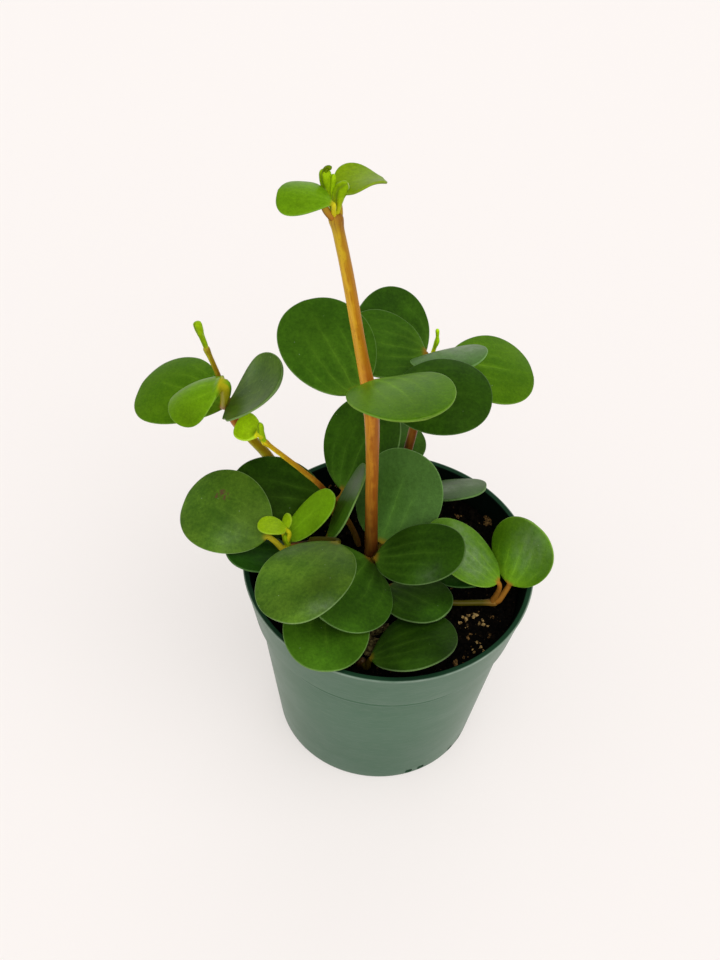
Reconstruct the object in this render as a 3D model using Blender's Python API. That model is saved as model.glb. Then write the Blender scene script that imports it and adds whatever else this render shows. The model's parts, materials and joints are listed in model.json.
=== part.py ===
"""Trailing jade peperomia growing in a round nursery pot.

The pot stands on the XY plane, the middle of its flat base is the origin and +Z is up.
A viewer in front of the plant stands at -Y, so +X is to the right.
Every size below is in millimetres, and a mesh is turned into metres as it is made.

The plant is eight fleshy stems that stand in holes in the soil. Each stem carries round,
shallow-cupped leaves on short stalks, and the young shoots end in rolled leaves and buds.
"""
import math
from dataclasses import dataclass

import bmesh
import bpy
import numpy as np

METRES_PER_MM = 0.001
FIT_GAP = 0.3

# Driving dimensions of the pot
POT_RIM_RADIUS = 51.0
POT_HEIGHT = 84.0
POT_BASE_RADIUS = 37.0
POT_WALL = 1.2
POT_FLOOR = 1.6
COLLAR_HEIGHT = 19.5
COLLAR_STEP = 1.5
COLLAR_BOTTOM_RADIUS = 47.3
COLLAR_INNER_RADIUS = 45.3
COLLAR_INNER_STEP = 1.5
LIP_WIDTH = 2.2
LIP_FLARE_WIDTH = 0.4
LIP_FLARE_HEIGHT = 0.8
EDGE_BEVEL = 0.6
ROUND_SEGMENTS = 48
SHARP_ANGLE = 35.0

# Drain notches: two groups of five round the bottom edge, half a turn apart
NOTCH_AZIMUTHS = (-66.0, -58.5, -36.5, -27.0, -13.0)
NOTCH_GROUPS = 2
NOTCH_WIDTH = 2.6
NOTCH_LOW = 0.9
NOTCH_HIGH = 3.4
NOTCH_DEPTH = 6.0
NOTCH_CORNER = 0.7

# Soil
SOIL_TOP = 76.0
SOIL_TOP_RADIUS = 46.2
SOIL_SHOULDER = 2.0
HOLE_BOTTOM = 58.0
HOLE_RISE = 6.0
HOLE_CLEARANCE = 0.9
HOLE_SIDES = 12

# Leaves and stalks
LEAF_THICKNESS = 1.3
LEAF_EDGE_THICKNESS = 0.7
LEAF_MARGIN_SHARE = 0.9
LEAF_LEAST_WIDTH = 0.3
NECK_SHARE = 0.15
NECK_ROUNDNESS = 0.15
STALK_RADIUS = 0.95
STALK_GAP = 0.4
STALK_OUTWARD = 0.8
STALK_UPWARD = 0.6
STALK_HANDLE = 0.4
LEAF_COLUMNS = 6
LEAF_STATIONS = 9
STALK_STATIONS = 3
LEAF_END = 0.997
STEM_POINTS_PER_SPAN = 2
STEM_BEVEL_RESOLUTION = 2

# Leaf outlines as (p, q): the half-width grows as s^p from the stalk and closes as (1-s)^q at the tip
ROUND = (0.55, 0.45)
BLUNT_ROUND = (0.45, 0.45)
SHORT_ROUND = (0.5, 0.45)
OBOVATE = (0.85, 0.42)
WIDE_OBOVATE = (0.7, 0.42)
FAN = (0.65, 0.5)
ELLIPTIC = (0.6, 0.6)

# Colours as linear red, green, blue, with a roughness
POT_GREEN = (0.055, 0.16, 0.095, 0.5)
SOIL_BROWN = (0.035, 0.025, 0.018, 0.95)
STEM_AMBER = (0.30, 0.12, 0.02, 0.45)
LEAF_DARK = (0.035, 0.13, 0.015, 0.35)
LEAF_BRIGHT = (0.12, 0.28, 0.02, 0.35)
TIP_LIME = (0.25, 0.42, 0.03, 0.4)


@dataclass(frozen=True)
class Leaf:
    """One leaf on its stalk.

    stem, knot: the stem and the number of the stem's knot where the stalk grows
    base: where the blade begins, as (x, y, z)
    heading: which way the blade points, in degrees from +X towards +Y
    rise: how steeply the middle of the blade climbs; roll: how far it leans about its midrib
    droop: how far the midrib bends down along the blade; crown: how far it bends across
    start: where the stalk begins, if it isn't straight out from the knot
    """

    stem: str
    knot: int
    base: tuple
    heading: float
    rise: float
    roll: float
    length: float
    width: float
    droop: float
    crown: float
    outline: tuple = ROUND
    start: tuple = None
    stalk_radius: float = STALK_RADIUS
    colour: tuple = LEAF_DARK


# Each stem as knots of (x, y, z, radius), from below the soil up to the tip
STEMS = {
    "tall": (
        (-6, -3, 64, 2.2), (-6, -3, 78, 2.2), (-6.3, -2, 88, 2.3), (-7.7, -2.3, 118, 2.1),
        (-8.4, -2.6, 136, 2.1), (-10.2, -3, 162, 2.4), (-14.4, -3, 185, 1.9),
        (-20, -3, 215.5, 1.8), (-23.6, -3, 233, 1.7),
    ),
    "left_middle": (
        (-10.5, 12.5, 64, 1.1), (-11.7, 13, 76, 1.1), (-16.2, 14.5, 86.3, 1.0), (-25, 12.5, 104, 0.95),
        (-31.5, 9, 115.5, 0.9), (-37, 6, 124.5, 0.85), (-44, 2, 136, 0.8),
    ),
    "left_rear": (
        (-25, 23, 65, 1.8), (-30, 24.5, 76.5, 1.8), (-38, 26, 88.4, 1.8), (-46, 25, 104.5, 1.8),
        (-51.5, 22.6, 115.2, 1.7), (-56.5, 20.8, 124.7, 1.7), (-59, 19.5, 134.5, 1.6),
        (-61.5, 19.6, 146, 0.9), (-65, 18.6, 159, 0.9),
    ),
    "back": (
        (1, 38, 66, 1.7), (1, 37.5, 78, 1.7), (2.5, 35.5, 100, 1.6), (4, 33, 117, 1.6),
        (5.5, 30.5, 138, 1.5), (7, 28.5, 154, 1.4),
    ),
    "left_low": (
        (-17, 9, 66, 1.3), (-17.5, 8, 77, 1.3), (-22, 3, 85, 1.3), (-28.5, -2, 91, 1.2),
        (-34.5, -6, 93, 1.3),
    ),
    "right": (
        (10, -7.3, 66, 1.2), (11.5, -8.2, 76.5, 1.1), (16.5, -11, 78.2, 1.1), (24, -11, 77.9, 1.05),
        (31, -10, 77.8, 1.05), (38, -9, 77.8, 1.1),
    ),
    "front": ((-21, -8, 66, 1.4), (-22, -7.5, 78, 1.4), (-23.8, -8, 88, 1.3), (-27, -11, 100, 1.2)),
    "front_low": ((-7, -40, 68, 1.2), (-6.5, -40, 77, 1.2), (-5.5, -40, 79, 1.1)),
}

LEAVES = {
    "leaf_top_left": Leaf("tall", 8, (-25.6, -5.9, 240.4), 170, 1, -2, 14.5, 16, 37, 32, OBOVATE,
                          start=(-26.2, -4.2, 233), colour=LEAF_BRIGHT),
    "leaf_top_right": Leaf("tall", 8, (-23.3, 0.3, 239.3), 43, -1, -15, 14.3, 17, 55, -28, ELLIPTIC,
                           start=(-20.9, -1.7, 233.3), colour=LEAF_BRIGHT),
    "leaf_middle_left": Leaf("tall", 5, (-15.5, 2, 162), 128, 22, -3, 35, 31, 12, 4),
    "leaf_middle_front": Leaf("tall", 5, (-9.5, -8, 177.5), 300, 25, -1, 36, 31, 34, -3,
                              colour=LEAF_BRIGHT),
    "leaf_middle_right": Leaf("tall", 5, (-5, -1.2, 164.2), -8, 7, 16, 33, 28, 53, 16),
    "leaf_back_upper": Leaf("back", 5, (5, 35.2, 150.3), 164, 30, -9, 27, 31, -3, -16,
                            start=(7.4, 31.7, 150.4)),
    "leaf_back_inner": Leaf("back", 5, (5, 27.3, 158.2), 186, 10, -6, 27, 29, 16, -4),
    "leaf_back_front": Leaf("back", 5, (9, 25.7, 159.9), 291, 28, 4, 22, 25, 59, 2),
    "leaf_back_right": Leaf("back", 5, (12.5, 31, 151), 4, -9, 1, 30, 31, 27, 4,
                            start=(9.5, 29.5, 151.9), colour=LEAF_BRIGHT),
    "leaf_back_low": Leaf("back", 1, (-1, 42, 87), 95, -1, 10, 25, 25, 18, 10),
    "leaf_back_edge": Leaf("back", 1, (9, 29.5, 88), 6, 13, -31, 24, 24, 19, 9),
    "leaf_far_left_rear": Leaf("left_rear", 6, (-60.5, 22.5, 129.3), 162, -9, -10, 34, 31, 48, 15,
                               WIDE_OBOVATE, start=(-56.5, 23.7, 127.9)),
    "leaf_far_left_front": Leaf("left_rear", 6, (-61.3, 10.1, 152.4), 177, -32, 6, 18.3, 27, 35, 58,
                                start=(-61, 17.3, 135), colour=LEAF_BRIGHT),
    "leaf_far_left_right": Leaf("left_rear", 6, (-58, 16.2, 135.9), -32, 47, 21, 31, 29, 4, -35,
                                start=(-58, 16.7, 133.1)),
    "leaf_left_large": Leaf("left_low", 4, (-41.5, -7.5, 99.5), 164, -3, -27, 35, 30, 53, 8,
                            start=(-36.6, -8.2, 94.6)),
    "leaf_left_behind": Leaf("left_middle", 2, (-24.3, 13.3, 95.8), 191, 6, -34, 34, 29, 17, 8,
                             start=(-18.9, 14.9, 85.5)),
    "leaf_left_under": Leaf("left_low", 4, (-33.5, -4.5, 88.4), 196, 13, 15, 24, 25, 18, 3,
                            start=(-30.2, -3.2, 88.8)),
    "leaf_left_young": Leaf("left_low", 4, (-36, -3.4, 94.2), 29, 44, -1, 24, 13, -2, 5,
                            start=(-35.4, -3.4, 92.2), colour=LEAF_BRIGHT),
    "leaf_left_upright": Leaf("left_low", 2, (-21.5, -1.4, 94.6), 54, 53, -53, 29, 27, 4, 0),
    "leaf_rear_centre": Leaf("left_rear", 1, (-18.5, 25.5, 89), 65, 46, -17, 36, 33, 4, -17),
    "leaf_centre": Leaf("tall", 2, (-3, 2.5, 90), 72, 44, -7, 34, 32, -11, 15, BLUNT_ROUND),
    "leaf_front_left": Leaf("front", 3, (-17.8, -14.4, 107.6), 238, -4, 17, 37, 33, 47, 8, SHORT_ROUND,
                            start=(-26.6, -8.1, 100.8)),
    "leaf_front_middle": Leaf("tall", 2, (-6.9, -6, 90.4), 253, 7, -25, 34, 35, 35, -7,
                              start=(-8.8, -4.9, 88.2)),
    "leaf_front_low_left": Leaf("front", 2, (-20.5, -18.5, 85), 277, 2, -1, 33, 29, 36, -8),
    "leaf_front_right": Leaf("tall", 2, (-4.5, -8.9, 95.2), -11, 25, 16, 33, 23, 12, -1,
                             start=(-3.6, -4.3, 91)),
    "leaf_front_inner": Leaf("tall", 1, (0.5, -11.5, 83.4), 328, 12, -6, 25, 23, 23, -3),
    "leaf_front_low_right": Leaf("front_low", 2, (-2.5, -40.8, 81.7), 20, 16, -22, 30, 31, 31, -4, FAN,
                                 start=(-4, -41.5, 77.6)),
    "leaf_right_front": Leaf("right", 5, (38, -9, 89), 153, 26, 9, 31, 23, 8, 7, ELLIPTIC,
                             start=(37.2, -9, 80.4), colour=LEAF_BRIGHT),
    "leaf_right_under": Leaf("right", 1, (13, 0.8, 81.6), 352, 9, -13, 24, 19, 19, 9),
    "leaf_right_end": Leaf("right", 5, (42.5, -5, 84), 63, 65, -12, 25, 25, -2, 2,
                           start=(40.7, -8.7, 78.6)),
}

# Growing tips: small leaves, and buds and rolled leaves as tubes of (x, y, z, radius)
TIP_LEAVES = {
    "tip_tall": (
        Leaf("tall", 8, (-22.3, -3.9, 237.5), 280, 78, 0, 7.5, 4.4, 10, 50, ROUND,
             start=(-23.6, -3, 234.6), stalk_radius=0.7),
    ),
    "tip_left_middle": (
        Leaf("left_middle", 6, (-47.8, 0, 140), 133, 1, -34, 9, 9, 6, -16, ROUND,
             start=(-44.8, 1.6, 137.2), stalk_radius=0.7),
    ),
    "tip_left_low": (
        Leaf("left_low", 4, (-35.5, -6.7, 102.9), 181, 9, 9, 10, 9, 32, -12, ROUND,
             start=(-34.9, -7, 96), stalk_radius=0.7),
        Leaf("left_low", 4, (-36.6, -5.2, 101), 60, 62, -20, 6.5, 4.5, 10, 20, ROUND,
             start=(-35, -7, 96.2), stalk_radius=0.6),
    ),
}
TIP_TUBES = {
    "tip_tall": (
        ((-23.8, -3, 233.5, 0.9), (-24.3, -2.5, 235.5, 1.0), (-25.9, 0.1, 238, 1.1), (-26.9, 1.2, 241.2, 1.8),
         (-27.3, 1.3, 244.8, 1.8), (-27.1, 1.2, 246.7, 0.8)),
        ((-24.3, -2.4, 235.5, 0.7), (-25.3, -0.4, 238.3, 0.8), (-25.4, 0.8, 241.5, 1.0),
         (-25.1, 0.9, 245, 0.5)),
    ),
    "tip_left_rear": (
        ((-65.1, 18.6, 159.4, 0.8), (-65.6, 18.6, 161.5, 1.0), (-66.6, 18.5, 165.5, 1.0),
         (-67.2, 18.5, 167.6, 1.6), (-67.6, 18.5, 169.4, 1.3), (-67.8, 18.5, 170.3, 0.6)),
        ((-65.4, 18.6, 161, 0.6), (-66.2, 18.2, 164, 0.8), (-66.8, 17.6, 166.4, 0.9), (-67.1, 17.5, 168.2, 0.5)),
    ),
    "tip_left_middle": (
        ((-44.2, 1.9, 136.4, 0.7), (-44.8, 1.6, 138, 1.0), (-45.3, 1.2, 141, 1.1), (-45.3, 1, 144, 1.2),
         (-45.4, 1, 146.5, 0.5)),
    ),
    "tip_back": (
        ((7.1, 28.4, 154.4, 1.1), (7.8, 28, 160, 0.9), (8.4, 27.6, 163.6, 1.1), (8.4, 27.4, 166, 0.7),
         (8.2, 27.2, 168.5, 0.8), (8.1, 27.1, 169.6, 0.4)),
    ),
    "tip_left_low": (
        ((-34.7, -7.2, 95, 0.8), (-34.9, -7, 96.4, 1.0), (-35.6, -6.9, 98.6, 1.1), (-36.2, -6.9, 100.2, 0.5)),
    ),
}


def unit(vector):
    """Return the vector at length one."""
    vector = np.asarray(vector, float)
    return vector / np.linalg.norm(vector)


def smooth_path(knots, per_span):
    """Return points and radii along a smooth curve that passes through every knot."""
    knots = np.asarray(knots, float)
    before_first = 2 * knots[0] - knots[1]
    after_last = 2 * knots[-1] - knots[-2]
    guide = np.vstack([before_first, knots, after_last])
    points = []
    for span in range(len(knots) - 1):
        a, b, c, d = guide[span:span + 4]
        for step in range(per_span):
            t = step / per_span
            cubic = 2 * b + (c - a) * t + (2 * a - 5 * b + 4 * c - d) * t**2 + (3 * b - a - 3 * c + d) * t**3
            point = cubic / 2
            point[3] = b[3] + (c[3] - b[3]) * t
            points.append(point)
    points.append(knots[-1])
    points = np.array(points)
    return points[:, :3], points[:, 3]


def make_material(name, colour):
    """Return a Principled material from (red, green, blue, roughness)."""
    material = bpy.data.materials.new(name)
    material.use_nodes = True
    shader = material.node_tree.nodes["Principled BSDF"]
    shader.inputs["Base Color"].default_value = (*colour[:3], 1.0)
    shader.inputs["Roughness"].default_value = colour[3]
    shader.inputs["Metallic"].default_value = 0.0
    return material


def make_object(name, data, colour):
    """Link an object to the scene with its own material."""
    data.materials.append(make_material(name + "_finish", colour))
    made = bpy.data.objects.new(name, data)
    bpy.context.scene.collection.objects.link(made)
    return made


def make_tube(name, knots, colour):
    """Return a round stem as a bevelled curve with closed ends."""
    points, radii = smooth_path(knots, STEM_POINTS_PER_SPAN)
    curve = bpy.data.curves.new(name, "CURVE")
    curve.dimensions = "3D"
    curve.bevel_depth = METRES_PER_MM
    curve.bevel_resolution = STEM_BEVEL_RESOLUTION
    curve.use_fill_caps = True
    spline = curve.splines.new("POLY")
    spline.points.add(len(points) - 1)
    for spline_point, place, radius in zip(spline.points, points, radii):
        spline_point.co = (*(place * METRES_PER_MM), 1.0)
        spline_point.radius = radius
    return make_object(name, curve, colour)


def stalk_start(leaf):
    """Return where a leaf's stalk begins and which way it leaves its stem."""
    knots = np.asarray(STEMS[leaf.stem], float)
    last = len(knots) - 1
    centre, radius = knots[leaf.knot, :3], knots[leaf.knot, 3]
    axis = unit(knots[min(leaf.knot + 1, last), :3] - knots[leaf.knot - 1, :3])
    offset = np.asarray(leaf.base, float) - centre
    across = unit(offset - axis * np.dot(offset, axis))
    leaving = unit(STALK_OUTWARD * across + STALK_UPWARD * axis)
    start = centre + across * (radius + STALK_GAP + STALK_RADIUS)
    if leaf.start is not None:
        start = np.asarray(leaf.start, float)
    return start, leaving


def leaf_frame(leaf):
    """Return the base point and the blade's own directions: along, side and up."""
    heading, roll = math.radians(leaf.heading), math.radians(leaf.roll)
    pitch = math.radians(leaf.rise + leaf.droop / 2)
    along = np.array([
        math.cos(heading) * math.cos(pitch),
        math.sin(heading) * math.cos(pitch),
        math.sin(pitch),
    ])
    level_side = np.array([-math.sin(heading), math.cos(heading), 0.0])
    level_up = np.cross(along, level_side)
    side = level_side * math.cos(roll) + level_up * math.sin(roll)
    up = level_up * math.cos(roll) - level_side * math.sin(roll)
    return np.asarray(leaf.base, float), along, side, up


def half_widths(leaf, stations):
    """Return the blade's half-width at each station, which starts at the stalk's radius."""
    p, q = leaf.outline
    widest = p / (p + q)
    scale = leaf.width / 2 / (widest**p * (1 - widest)**q)
    outline = scale * stations**p * (1 - stations)**q
    stalk = leaf.stalk_radius * (1 - stations)**3
    return np.sqrt(outline**2 + stalk**2)


def blade_rings(leaf):
    """Return the closed rings of points round the blade, from the stalk to the tip.

    The midrib is an arc that turns through droop, and each cross-section is an arc that turns
    through crown, so the blade is a shallow spoon. The thickness tapers towards the margin.
    """
    base, along, side, up = leaf_frame(leaf)
    turns = np.linspace(0, math.pi, LEAF_STATIONS + 1)[1:]
    stations = (1 - np.cos(turns)) / 2
    stations[-1] = LEAF_END
    widths = half_widths(leaf, stations)
    droop = math.radians(leaf.droop)
    crown = math.radians(leaf.crown or 0.1) / (leaf.width / 2)
    turned = (droop * stations)[:, None]
    normal = np.sin(turned) * along + np.cos(turned) * up
    forward = leaf.length * np.sin(turned) / droop
    dropped = leaf.length * (1 - np.cos(turned)) / droop
    midrib = base + forward * along - dropped * up
    columns = np.linspace(-1, 1, LEAF_COLUMNS)
    bend = (crown * widths[:, None] * columns)[..., None]
    middle = midrib[:, None] + np.sin(bend) / crown * side - (1 - np.cos(bend)) / crown * normal[:, None]
    outward = np.sin(bend) * side + np.cos(bend) * normal[:, None]
    flat = 1 - columns**2
    half = (LEAF_EDGE_THICKNESS + (LEAF_THICKNESS - LEAF_EDGE_THICKNESS) * flat) / 2
    half = np.minimum(half, LEAF_MARGIN_SHARE * np.maximum(widths, LEAF_LEAST_WIDTH)[:, None])
    near_stalk = np.clip(1 - stations / NECK_SHARE, 0, 1)[:, None]
    round_half = leaf.stalk_radius * np.sqrt(np.maximum(flat, NECK_ROUNDNESS))
    half = (half * (1 - near_stalk) + round_half * near_stalk)[..., None]
    top = middle + outward * half
    under = middle - outward * half
    return np.concatenate([top, under[:, ::-1]], axis=1)


def stalk_rings(leaf):
    """Return the rings of the stalk, a round tube along a cubic curve from the stem to the blade."""
    start, leaving = stalk_start(leaf)
    base, along, side, _ = leaf_frame(leaf)
    reach = np.linalg.norm(base - start)
    first_handle = start + leaving * reach * STALK_HANDLE
    last_handle = base - along * reach * STALK_HANDLE
    half_step = math.pi / (2 * LEAF_COLUMNS)
    angles = np.linspace(math.pi - half_step, half_step, LEAF_COLUMNS)
    rings = []
    for station in range(STALK_STATIONS):
        t = station / STALK_STATIONS
        u = 1 - t
        centre = u**3 * start + 3 * u**2 * t * first_handle + 3 * u * t**2 * last_handle + t**3 * base
        ahead = unit(
            u**2 * (first_handle - start) + 2 * u * t * (last_handle - first_handle)
            + t**2 * (base - last_handle)
        )
        across = unit(side - ahead * np.dot(side, ahead))
        above = np.cross(ahead, across)
        sideways = np.cos(angles)[:, None] * across
        lifted = np.sin(angles)[:, None] * above
        top = centre + leaf.stalk_radius * (sideways + lifted)
        under = centre + leaf.stalk_radius * (sideways - lifted)
        rings.append(np.concatenate([top, under[::-1]]))
    return np.array(rings)


def make_leaf(name, leaf):
    """Skin the rings of a stalk and its blade into one closed leaf.

    The upper and lower faces are split along the same diagonals, so that they never cross.
    """
    rings = np.concatenate([stalk_rings(leaf), blade_rings(leaf)])
    around = 2 * LEAF_COLUMNS
    model = bmesh.new()
    points = [[model.verts.new(place * METRES_PER_MM) for place in ring] for ring in rings]
    for near, far in zip(points, points[1:]):
        for column in range(around):
            following = (column + 1) % around
            a, b, c, d = near[column], near[following], far[following], far[column]
            if column < LEAF_COLUMNS - 1:
                model.faces.new((a, c, b))
                model.faces.new((a, d, c))
            else:
                model.faces.new((a, d, b))
                model.faces.new((b, d, c))
    model.faces.new(points[0])
    model.faces.new(points[-1][::-1])
    bmesh.ops.triangulate(model, faces=[face for face in model.faces if len(face.verts) > 4])
    bmesh.ops.recalc_face_normals(model, faces=model.faces)
    mesh = bpy.data.meshes.new(name)
    model.to_mesh(mesh)
    model.free()
    mesh.shade_smooth()
    return make_object(name, mesh, leaf.colour)


def to_mesh_object(made):
    """Turn a curve object into a mesh object of the same name."""
    name = made.name
    graph = bpy.context.evaluated_depsgraph_get()
    mesh = bpy.data.meshes.new_from_object(made.evaluated_get(graph))
    bpy.data.objects.remove(made)
    turned = bpy.data.objects.new(name, mesh)
    bpy.context.scene.collection.objects.link(turned)
    return turned


def fuse(name, pieces):
    """Join overlapping pieces into one closed body with a Boolean union on a collection."""
    core, *others = pieces
    core.name = name
    if others:
        gathered = bpy.data.collections.new(name + "_pieces")
        bpy.context.scene.collection.children.link(gathered)
        for piece in others:
            gathered.objects.link(piece)
        union = core.modifiers.new("union", "BOOLEAN")
        union.operation = "UNION"
        union.operand_type = "COLLECTION"
        union.collection = gathered
        union.solver = "EXACT"
        graph = bpy.context.evaluated_depsgraph_get()
        joined = bpy.data.meshes.new_from_object(core.evaluated_get(graph))
        core.modifiers.clear()
        core.data = joined
        for piece in others:
            bpy.data.objects.remove(piece)
        bpy.data.collections.remove(gathered)
    return core


def make_tip(name):
    """Build a growing tip from its rolled leaves, buds and small leaves."""
    pieces = []
    for number, knots in enumerate(TIP_TUBES[name]):
        pieces.append(to_mesh_object(make_tube(f"{name}_tube_{number}", knots, TIP_LIME)))
    for number, leaf in enumerate(TIP_LEAVES.get(name, ())):
        pieces.append(make_leaf(f"{name}_leaf_{number}", leaf))
    return fuse(name, pieces)


def turned_mesh(name, profile):
    """Spin a closed outline of (radius, height) round the Z axis."""
    model = bmesh.new()
    corners = [
        model.verts.new((radius * METRES_PER_MM, 0, height * METRES_PER_MM)) for radius, height in profile
    ]
    edges = [model.edges.new(pair) for pair in zip(corners, corners[1:])]
    bmesh.ops.spin(
        model, geom=corners + edges, cent=(0, 0, 0), axis=(0, 0, 1),
        angle=2 * math.pi, steps=ROUND_SEGMENTS, use_duplicate=False,
    )
    bmesh.ops.remove_doubles(model, verts=model.verts, dist=1e-6)
    bmesh.ops.recalc_face_normals(model, faces=model.faces)
    mesh = bpy.data.meshes.new(name)
    model.to_mesh(mesh)
    model.free()
    mesh.shade_smooth()
    mesh.set_sharp_from_angle(angle=math.radians(SHARP_ANGLE))
    return mesh


def make_cutter(name, mesh_maker):
    """Return a hidden wire object whose mesh cuts another."""
    model = bmesh.new()
    mesh_maker(model)
    mesh = bpy.data.meshes.new(name)
    model.to_mesh(mesh)
    model.free()
    cutter = bpy.data.objects.new(name, mesh)
    cutter.hide_render = True
    cutter.display_type = "WIRE"
    return cutter


def cut_with(target, name, cutters):
    """Cut a group of hidden cutters out of an object."""
    gathered = bpy.data.collections.new(name)
    bpy.context.scene.collection.children.link(gathered)
    for cutter in cutters:
        gathered.objects.link(cutter)
    cut = target.modifiers.new(name, "BOOLEAN")
    cut.operation = "DIFFERENCE"
    cut.operand_type = "COLLECTION"
    cut.collection = gathered
    cut.solver = "EXACT"


def wall_radius(height):
    """Return the outer radius of the plain wall below the collar."""
    top_radius = COLLAR_BOTTOM_RADIUS - COLLAR_STEP
    share = (height - EDGE_BEVEL) / (POT_HEIGHT - COLLAR_HEIGHT - EDGE_BEVEL)
    return POT_BASE_RADIUS + (top_radius - POT_BASE_RADIUS) * share


def notch_cutter(number, azimuth):
    """Return a small block that opens one drain notch through the bottom edge of the wall."""
    angle = math.radians(azimuth)
    reach = POT_BASE_RADIUS
    size = (NOTCH_DEPTH, NOTCH_WIDTH, NOTCH_HIGH - NOTCH_LOW)
    centre_height = (NOTCH_HIGH + NOTCH_LOW) / 2

    def block(model):
        bmesh.ops.create_cube(model, size=METRES_PER_MM)
        bmesh.ops.scale(model, vec=size, verts=model.verts)
        upright = [edge for edge in model.edges if abs(edge.verts[0].co.x - edge.verts[1].co.x) > 1e-6]
        bmesh.ops.bevel(
            model, geom=upright, offset=NOTCH_CORNER * METRES_PER_MM, segments=2, profile=0.5, affect="EDGES",
        )

    cutter = make_cutter(f"notch_cutter_{number}", block)
    cutter.location = (
        reach * math.cos(angle) * METRES_PER_MM,
        reach * math.sin(angle) * METRES_PER_MM,
        centre_height * METRES_PER_MM,
    )
    cutter.rotation_euler = (0, 0, angle)
    return cutter


def make_pot():
    """Build the round nursery pot: a tapered wall, a thicker collar at the top and drain notches."""
    collar_bottom = POT_HEIGHT - COLLAR_HEIGHT
    profile = (
        (0, 0),
        (POT_BASE_RADIUS - EDGE_BEVEL, 0),
        (POT_BASE_RADIUS, EDGE_BEVEL),
        (COLLAR_BOTTOM_RADIUS - COLLAR_STEP, collar_bottom),
        (COLLAR_BOTTOM_RADIUS, collar_bottom),
        (POT_RIM_RADIUS - LIP_FLARE_WIDTH, POT_HEIGHT - LIP_FLARE_HEIGHT),
        (POT_RIM_RADIUS, POT_HEIGHT),
        (POT_RIM_RADIUS - LIP_WIDTH, POT_HEIGHT),
        (COLLAR_INNER_RADIUS, collar_bottom + COLLAR_INNER_STEP),
        (wall_radius(collar_bottom) - POT_WALL, collar_bottom),
        (wall_radius(POT_FLOOR) - POT_WALL, POT_FLOOR),
        (0, POT_FLOOR),
    )
    pot = make_object("pot", turned_mesh("pot", profile), POT_GREEN)
    cutters = []
    for group in range(NOTCH_GROUPS):
        for azimuth in NOTCH_AZIMUTHS:
            cutters.append(notch_cutter(len(cutters), azimuth + group * 360 / NOTCH_GROUPS))
    cut_with(pot, "drain_notches", cutters)
    return pot


def hole_cutter(name, knots):
    """Return a plain round cutter along the buried part of a stem."""
    below, above = np.asarray(knots[0], float), np.asarray(knots[1], float)
    slope = (above[:3] - below[:3]) / (above[2] - below[2])
    bottom = below[:3] + slope * (HOLE_BOTTOM - below[2])
    top = above[:3] + slope * (SOIL_TOP + HOLE_RISE - above[2])
    radius = (below[3] + HOLE_CLEARANCE) * METRES_PER_MM

    def column(model):
        rings = []
        for centre in (bottom, top):
            ring = []
            for side in range(HOLE_SIDES):
                angle = 2 * math.pi * side / HOLE_SIDES
                x = centre[0] * METRES_PER_MM + radius * math.cos(angle)
                y = centre[1] * METRES_PER_MM + radius * math.sin(angle)
                ring.append(model.verts.new((x, y, centre[2] * METRES_PER_MM)))
            rings.append(ring)
        model.faces.new(rings[0][::-1])
        model.faces.new(rings[1])
        bmesh.ops.bridge_loops(model, edges=model.edges[:])
        bmesh.ops.recalc_face_normals(model, faces=model.faces)

    return make_cutter(f"hole_cutter_{name}", column)


def make_soil():
    """Build the plug of soil that fills the pot, with a plain hole for each stem."""
    collar_bottom = POT_HEIGHT - COLLAR_HEIGHT
    inside_floor = wall_radius(POT_FLOOR) - POT_WALL
    inside_wall = wall_radius(collar_bottom) - POT_WALL
    profile = (
        (0, POT_FLOOR + FIT_GAP),
        (inside_floor - 2 * FIT_GAP, POT_FLOOR + FIT_GAP),
        (inside_wall - FIT_GAP, collar_bottom),
        (inside_wall - FIT_GAP, collar_bottom + SOIL_SHOULDER),
        (SOIL_TOP_RADIUS, SOIL_TOP),
        (0, SOIL_TOP),
    )
    soil = make_object("soil", turned_mesh("soil", profile), SOIL_BROWN)
    cut_with(soil, "stem_holes", [hole_cutter(name, knots) for name, knots in STEMS.items()])
    return soil


def main():
    """Clear the scene and build the pot, the soil, the stems, the leaves and the growing tips."""
    for old in list(bpy.data.objects):
        bpy.data.objects.remove(old)
    make_pot()
    make_soil()
    for name, knots in STEMS.items():
        make_tube("stem_" + name, knots, STEM_AMBER)
    for name, leaf in LEAVES.items():
        make_leaf(name, leaf)
    for name in TIP_TUBES:
        make_tip(name)


main()
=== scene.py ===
"""Looks of a trailing jade peperomia in its nursery pot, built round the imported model.

The middle of the pot's flat base is the origin, +Z is up, and the viewer in front stands at -Y.
Sizes and places are in millimetres and turn into metres as a mesh is made. Colours are linear
red, green and blue. Every round form is a grid of points worked out from a formula.
"""
import json
import logging
import math
from dataclasses import dataclass, field
from enum import Enum
from typing import ClassVar

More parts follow.
